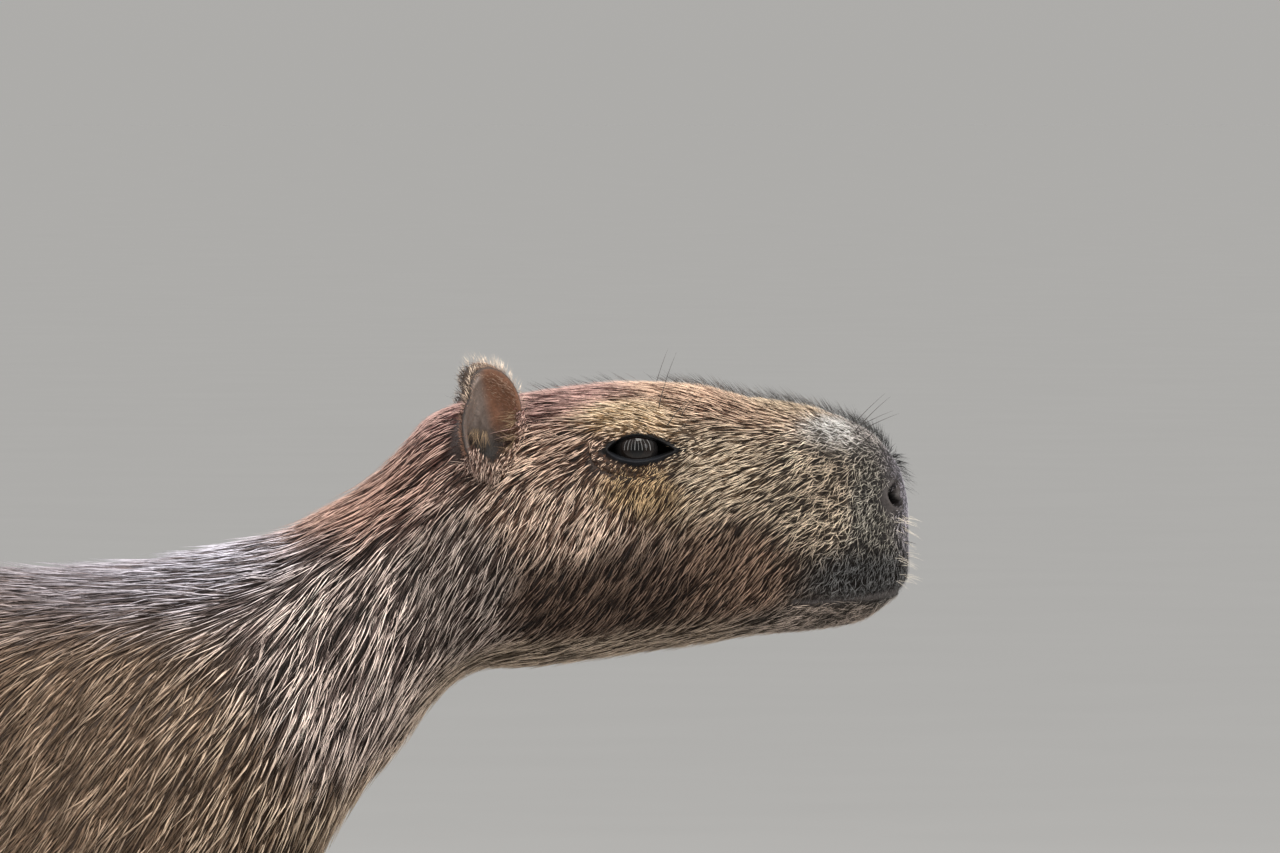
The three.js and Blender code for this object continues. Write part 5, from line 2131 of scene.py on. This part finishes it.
@dataclass
class Whiskers:
    """Whiskers and brow hairs: tapered tubes that bow along a cubic from the skin."""

    trunk: Trunk
    sides: int = 5
    seed: int = 41
    pale_tone: Triple = (0.62, 0.56, 0.46)
    dark_tone: Triple = (0.02, 0.015, 0.012)
    lip_count: int = 34
    lip_bow: Triple = (-0.05, -0.03, -0.16)
    dark_bow: Triple = (0.08, 0.0, -0.06)
    # x and z of the root, the way, and the length of each long dark hair of brow and snout
    dark: tuple[tuple[float, ...], ...] = (
        (399.7, 594.5, 0.55, 0.2, 0.85, 24),
        (405.3, 591.5, 0.68, 0.25, 0.68, 15),
        (395.8, 605.0, 0.2, 0.15, 0.95, 34),
        (408.0, 600.0, 0.45, 0.3, 0.8, 16),
        (506.0, 590.5, 0.62, 0.15, 0.76, 29),
        (507.0, 590.0, 0.85, 0.2, 0.5, 26),
        (511.0, 585.0, 0.6, 0.35, 0.7, 13),
    )

    def tubes(
        self, start: Array, way: Array, sag: Array, length: Array, radius: Array
    ) -> tuple[Array, list[Array]]:
        """All the tubes at once: point = start + way * s * length + sag * s^2, radius falling to the tip.

        Args:
            start: where the hairs leave the skin.
            way: the way each grows.
            sag: how far its tip is bent off that way.
            length: its length.
            radius: its radius at the skin.

        Returns:
            The points, and the faces by their number of corners.
        """
        s = np.linspace(0, 1, 12)[None, :, None]
        line = start[:, None] + way[:, None] * s * length[:, None, None] + sag[:, None] * s**2
        forward = unit(np.gradient(line, axis=1))
        one = unit(np.cross(forward, np.array([0.3, 0.2, 1.0])))
        two = np.cross(forward, one)
        angle = full_turn(self.sides)[None, None, :, None]
        thick = (radius[:, None, None] * (1 - 0.88 * s))[..., None]
        rings = line[:, :, None] + thick * (np.cos(angle) * one[:, :, None] + np.sin(angle) * two[:, :, None])
        count, steps, around = rings.shape[:3]
        ends = np.stack([line[:, 0], line[:, -1]], 1)
        each = np.concatenate([rings.reshape(count, -1, 3), ends], 1)
        shift = np.arange(count)[:, None, None] * each.shape[1]
        faces = [(group[None] + shift).reshape(-1, group.shape[1]) for group in tube_faces(steps, around)]
        return each.reshape(-1, 3), faces

    def build(self, material: bpy.types.Material) -> None:
        """The lips' short whiskers and the long dark hairs of brow and snout, on both sides.

        Args:
            material: the hairs' finish.
        """
        rng = np.random.default_rng(self.seed)
        n = self.lip_count
        lip = np.stack([rng.uniform(527, 536, n), rng.uniform(506, 548, n)], 1)
        lip_way = np.stack([rng.uniform(0.7, 1.0, n), rng.uniform(0.1, 0.5, n), rng.uniform(-0.5, 0.1, n)], 1)
        lip_length = rng.uniform(6, 13, n)
        dark = np.array(self.dark)
        spots = np.concatenate([lip, dark[:, :2]])
        way = unit(np.concatenate([lip_way, dark[:, 2:5]]))
        length = np.concatenate([lip_length, dark[:, 5]])
        start = np.stack([spots[:, 0], self.trunk.flank(spots[:, 0], spots[:, 1]) - 1.2, spots[:, 1]], 1)
        bow = np.concatenate([np.tile(self.lip_bow, (n, 1)), np.tile(self.dark_bow, (len(dark), 1))])
        sag = bow * length[:, None]
        is_dark = np.concatenate([rng.random(n) < 0.15, np.ones(len(dark), bool)])
        radius = np.where(is_dark, 0.3, 0.12)
        for side in Side:
            turn = np.array([1, side.value, 1])
            points, faces = self.tubes(start * turn, way * turn, sag * turn, length, radius)
            piece = closed_piece(f"whiskers_{side.name.lower()}", points, faces)
            tone = np.where(is_dark[:, None], np.array(self.dark_tone), np.array(self.pale_tone))
            paint(piece, np.repeat(tone, len(points) // len(length), 0))
            place_piece(piece, Slot.FACE, material)


# Finishes


@dataclass(frozen=True)
class Finish:
    """A finish that reads the painted tone and breaks it up with streaks, bump and uneven gloss."""

    name: str
    roughness: tuple[float, float]
    streak: Triple
    variation: float
    bump: float
    grain: float
    cells: float = 0.0
    specular: float = 0.5

    def build(self) -> bpy.types.Material:
        """The node tree: tone times noise, noise to roughness, and noise or cells to bump.

        Returns:
            The material.
        """
        material = bpy.data.materials.new(self.name)
        material.use_nodes = True
        tree = material.node_tree
        nodes, links = tree.nodes, tree.links
        shader = nodes["Principled BSDF"]
        shader.inputs["Specular IOR Level"].default_value = self.specular
        place = nodes.new("ShaderNodeTexCoord")
        scale = nodes.new("ShaderNodeMapping")
        scale.inputs["Scale"].default_value = self.streak
        links.new(place.outputs["Object"], scale.inputs["Vector"])
        noise = nodes.new("ShaderNodeTexNoise")
        noise.inputs["Scale"].default_value = self.grain
        noise.inputs["Detail"].default_value = 4.0
        links.new(scale.outputs["Vector"], noise.inputs["Vector"])
        tone = nodes.new("ShaderNodeVertexColor")
        tone.layer_name = "tone"
        spread = nodes.new("ShaderNodeMapRange")
        spread.inputs["From Min"].default_value = 0.3
        spread.inputs["From Max"].default_value = 0.7
        spread.inputs["To Min"].default_value = 1 - self.variation
        spread.inputs["To Max"].default_value = 1 + self.variation
        links.new(noise.outputs["Fac"], spread.inputs["Value"])
        mix = nodes.new("ShaderNodeVectorMath")
        mix.operation = "SCALE"
        links.new(tone.outputs["Color"], mix.inputs[0])
        links.new(spread.outputs["Result"], mix.inputs["Scale"])
        links.new(mix.outputs["Vector"], shader.inputs["Base Color"])
        gloss = nodes.new("ShaderNodeMapRange")
        gloss.inputs["To Min"].default_value = self.roughness[0]
        gloss.inputs["To Max"].default_value = self.roughness[1]
        links.new(noise.outputs["Fac"], gloss.inputs["Value"])
        links.new(gloss.outputs["Result"], shader.inputs["Roughness"])
        height = noise.outputs["Fac"]
        if self.cells:
            cell = nodes.new("ShaderNodeTexVoronoi")
            cell.inputs["Scale"].default_value = self.cells
            links.new(place.outputs["Object"], cell.inputs["Vector"])
            height = cell.outputs["Distance"]
        bump = nodes.new("ShaderNodeBump")
        bump.inputs["Strength"].default_value = 0.6
        bump.inputs["Distance"].default_value = self.bump * MM
        links.new(height, bump.inputs["Height"])
        links.new(bump.outputs["Normal"], shader.inputs["Normal"])
        return material


FINISHES = {
    "skin": Finish("bare_hide", (0.4, 0.6), (1, 1, 1), 0.25, 0.5, 700, cells=900, specular=0.16),
    "lids": Finish("lid_hide", (0.32, 0.5), (1, 1, 1), 0.2, 0.35, 900, cells=1300, specular=0.1),
    "ear": Finish("ear_hide", (0.45, 0.65), (1, 1, 1), 0.25, 0.4, 600, cells=1100, specular=0.2),
    "coat": Finish("damp_hair", (0.34, 0.54), (1, 1, 1), 0.18, 0.15, 420, specular=0.16),
    "eye": Finish("wet_eye", (0.02, 0.04), (1, 1, 1), 0.2, 0.0, 300, specular=0.22),
    "horn": Finish("claw_horn", (0.3, 0.5), (1, 1, 6), 0.3, 0.3, 260, specular=0.5),
    "whisker": Finish("whisker_hair", (0.3, 0.45), (1, 1, 1), 0.15, 0.05, 500, specular=0.5),
    "floor": Finish("pale_floor", (0.7, 0.85), (1, 1, 1), 0.012, 0.3, 3, specular=0.0),
}


# Studio


@dataclass(frozen=True)
class Lamp:
    """A soft lamp: where it stands, what it looks at, its width, height, power and colour, in metres."""

    name: str
    at: Triple
    aim: Triple
    width: float
    height: float
    power: float
    colour: Triple = (1.0, 1.0, 1.0)


@dataclass
class Studio:
    """The pale floor, the soft lamps and the camera at the photograph's angle."""

    aim: Triple = (0.3874, 0.0, 0.5934)
    azimuth: float = -2.5
    elevation: float = 1.5
    distance: float = 8.0
    frame_width: float = 0.717
    sensor: float = 36.0
    floor_half: float = 150.0
    zenith: Triple = (1.0, 0.995, 0.985)
    floor_tone: Triple = (0.52, 0.515, 0.505)
    lamps: tuple[Lamp, ...] = (
        Lamp("key", (0.9, -1.4, 3.4), (0.3, 0.0, 0.5), 1.5, 1.5, 95, (1.0, 0.97, 0.92)),
        Lamp("front", (3.0, -1.8, 1.6), (0.3, 0.0, 0.5), 1.0, 1.0, 10, (0.95, 0.98, 1.0)),
        Lamp("back", (-1.6, 2.2, 2.8), (0.1, 0.0, 0.5), 1.2, 1.2, 42, (1.0, 1.0, 1.0)),
    )
    strip_turns: tuple[float, ...] = (-66.0, -46.0, -26.0, -6.0, 14.0, 34.0, 58.0, 84.0)
    strip_widths: tuple[float, ...] = (0.07, 0.1, 0.06, 0.12, 0.07, 0.11, 0.08, 0.13)
    strip_reach: float = 1.7
    strip_height: float = 2.3
    strip_glow: float = 13.0
    strip_tone: Triple = (1.0, 0.975, 0.94)
    eye: Triple = (0.383, -0.055, 0.582)

    def strips(self) -> tuple[Lamp, ...]:
        """Narrow upright lamps in an arc before the near side, which draw upright lines of light in the eye.

        A lamp's power is its glow times pi times its area.

        Returns:
            The lamps.
        """
        eye = self.eye
        turn = np.radians(np.array(self.strip_turns) + self.azimuth)
        x, y = eye[0] + self.strip_reach * np.sin(turn), eye[1] - self.strip_reach * np.cos(turn)
        z = eye[2] + self.strip_height / 2 - 0.1
        return tuple(
            Lamp(
                f"strip_{k + 1}", (float(x[k]), float(y[k]), z), (eye[0], eye[1], z), wide, self.strip_height,
                self.strip_glow * math.pi * wide * self.strip_height, self.strip_tone,
            )
            for k, wide in enumerate(self.strip_widths)
        )

    def build(self) -> None:
        """Sets the floor, the world, the lamps and the camera."""
        rim = self.floor_half / MM
        corners = np.array([[-rim, -rim, 0], [rim, -rim, 0], [rim, rim, 0], [-rim, rim, 0]], float)
        floor = new_piece("floor", corners, [np.array([[0, 1, 2, 3]])])
        paint(floor, np.tile(np.array(self.floor_tone), (4, 1)))
        floor.data.materials.append(FINISHES["floor"].build())
        self.light_world()
        bpy.context.scene.view_settings.view_transform = "Standard"
        for lamp in (*self.lamps, *self.strips()):
            light = bpy.data.lights.new(lamp.name, "AREA")
            light.shape = "RECTANGLE"
            light.size = lamp.width
            light.size_y = lamp.height
            light.energy = lamp.power
            light.color = lamp.colour
            holder = bpy.data.objects.new(lamp.name, light)
            holder.location = lamp.at
            way = Vector(lamp.aim) - Vector(lamp.at)
            holder.rotation_euler = way.to_track_quat("-Z", "Y").to_euler()
            holder.visible_camera = False
            bpy.context.scene.collection.objects.link(holder)
        self.place_camera()

    def light_world(self) -> None:
        """A plain sky: paler at the zenith, and at the horizon just the tone that the lit floor gives back.

        A floor of tone a under a sky h + (z - h) * height gives a * (h + (z - h) * 2 / 3), which equals h.
        """
        world = bpy.data.worlds.new("studio")
        world.use_nodes = True
        tree = world.node_tree
        zenith, tone = np.array(self.zenith), np.array(self.floor_tone)
        horizon = zenith * (tone * 2 / 3) / (1 - tone / 3)
        place = tree.nodes.new("ShaderNodeTexCoord")
        split = tree.nodes.new("ShaderNodeSeparateXYZ")
        mix = tree.nodes.new("ShaderNodeMix")
        mix.data_type = "RGBA"
        mix.inputs["A"].default_value = (*horizon, 1)
        mix.inputs["B"].default_value = (*zenith, 1)
        tree.links.new(place.outputs["Generated"], split.inputs["Vector"])
        tree.links.new(split.outputs["Z"], mix.inputs["Factor"])
        tree.links.new(mix.outputs["Result"], tree.nodes["Background"].inputs["Color"])
        bpy.context.scene.world = world

    def place_camera(self) -> None:
        """Puts the camera where the photograph was taken from, with a long lens."""
        a, e = math.radians(self.azimuth), math.radians(self.elevation)
        back = Vector((math.sin(a) * math.cos(e), -math.cos(a) * math.cos(e), math.sin(e)))
        data = bpy.data.cameras.new("camera")
        data.sensor_width = self.sensor
        data.lens = self.sensor * self.distance / self.frame_width
        data.clip_start = 0.1
        data.clip_end = 1000
        camera = bpy.data.objects.new("camera", data)
        camera.location = Vector(self.aim) + back * self.distance
        camera.rotation_euler = (-back).to_track_quat("-Z", "Y").to_euler()
        bpy.context.scene.collection.objects.link(camera)
        bpy.context.scene.camera = camera


def main() -> None:
    """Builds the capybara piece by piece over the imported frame."""
    logging.basicConfig(level=logging.INFO, format="%(message)s", stream=sys.stdout)
    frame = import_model()
    trunk, plan, eye, nostril, mouth = Trunk(), CoatPlan(), EyePlan(), NostrilPlan(), MouthPlan()
    limbs = (
        Limb("fore_limb_left", Side.LEFT, FORE_ROWS, FORE_FOOT, 16),
        Limb("fore_limb_right", Side.RIGHT, FORE_ROWS, FORE_FOOT, -14),
        Limb("hind_limb_left", Side.LEFT, HIND_ROWS, HIND_FOOT, -16),
        Limb("hind_limb_right", Side.RIGHT, HIND_ROWS, HIND_FOOT, 14),
    )
    finish = {key: made.build() for key, made in FINISHES.items() if key != "floor"}
    hide = Skin(trunk, limbs, plan, eye, nostril, mouth)
    skin = hide.build()
    hide.dress(skin, finish["skin"])
    coat = Coat(trunk, limbs, plan, eye, nostril, mouth)
    coat.build(skin, finish["coat"])
    eyes, lids, ears, claws = Eyes(eye), Lids(trunk, plan, eye), Ears(), Claws()
    rng = np.random.default_rng(5)
    for side in Side:
        eyes.build(side, finish["eye"])
        coat.dress_lids(lids.build(side, finish["lids"]), side, finish["coat"])
        ears.build(side, finish["ear"])
        hairs = TuftMaker(bury=0.3).build(f"coat_ear_{side.name.lower()}", ears.hairs(side, rng, plan), None)
        place_piece(hairs, Slot.EAR, finish["coat"])
        log.info("the %s side's eye, lids and ear are done", side.name.lower())
    for limb in limbs:
        end, side = limb.name.split("_limb_")
        for number, toe in enumerate(limb.foot.toes, 1):
            claws.build(limb, number, toe, f"{end}_claw_{side}", finish["horn"])
    Whiskers(trunk).build(finish["whisker"])
    Studio().build()
    log.info("built over %s", type(frame).__name__)


if __name__ == "__main__":
    main()
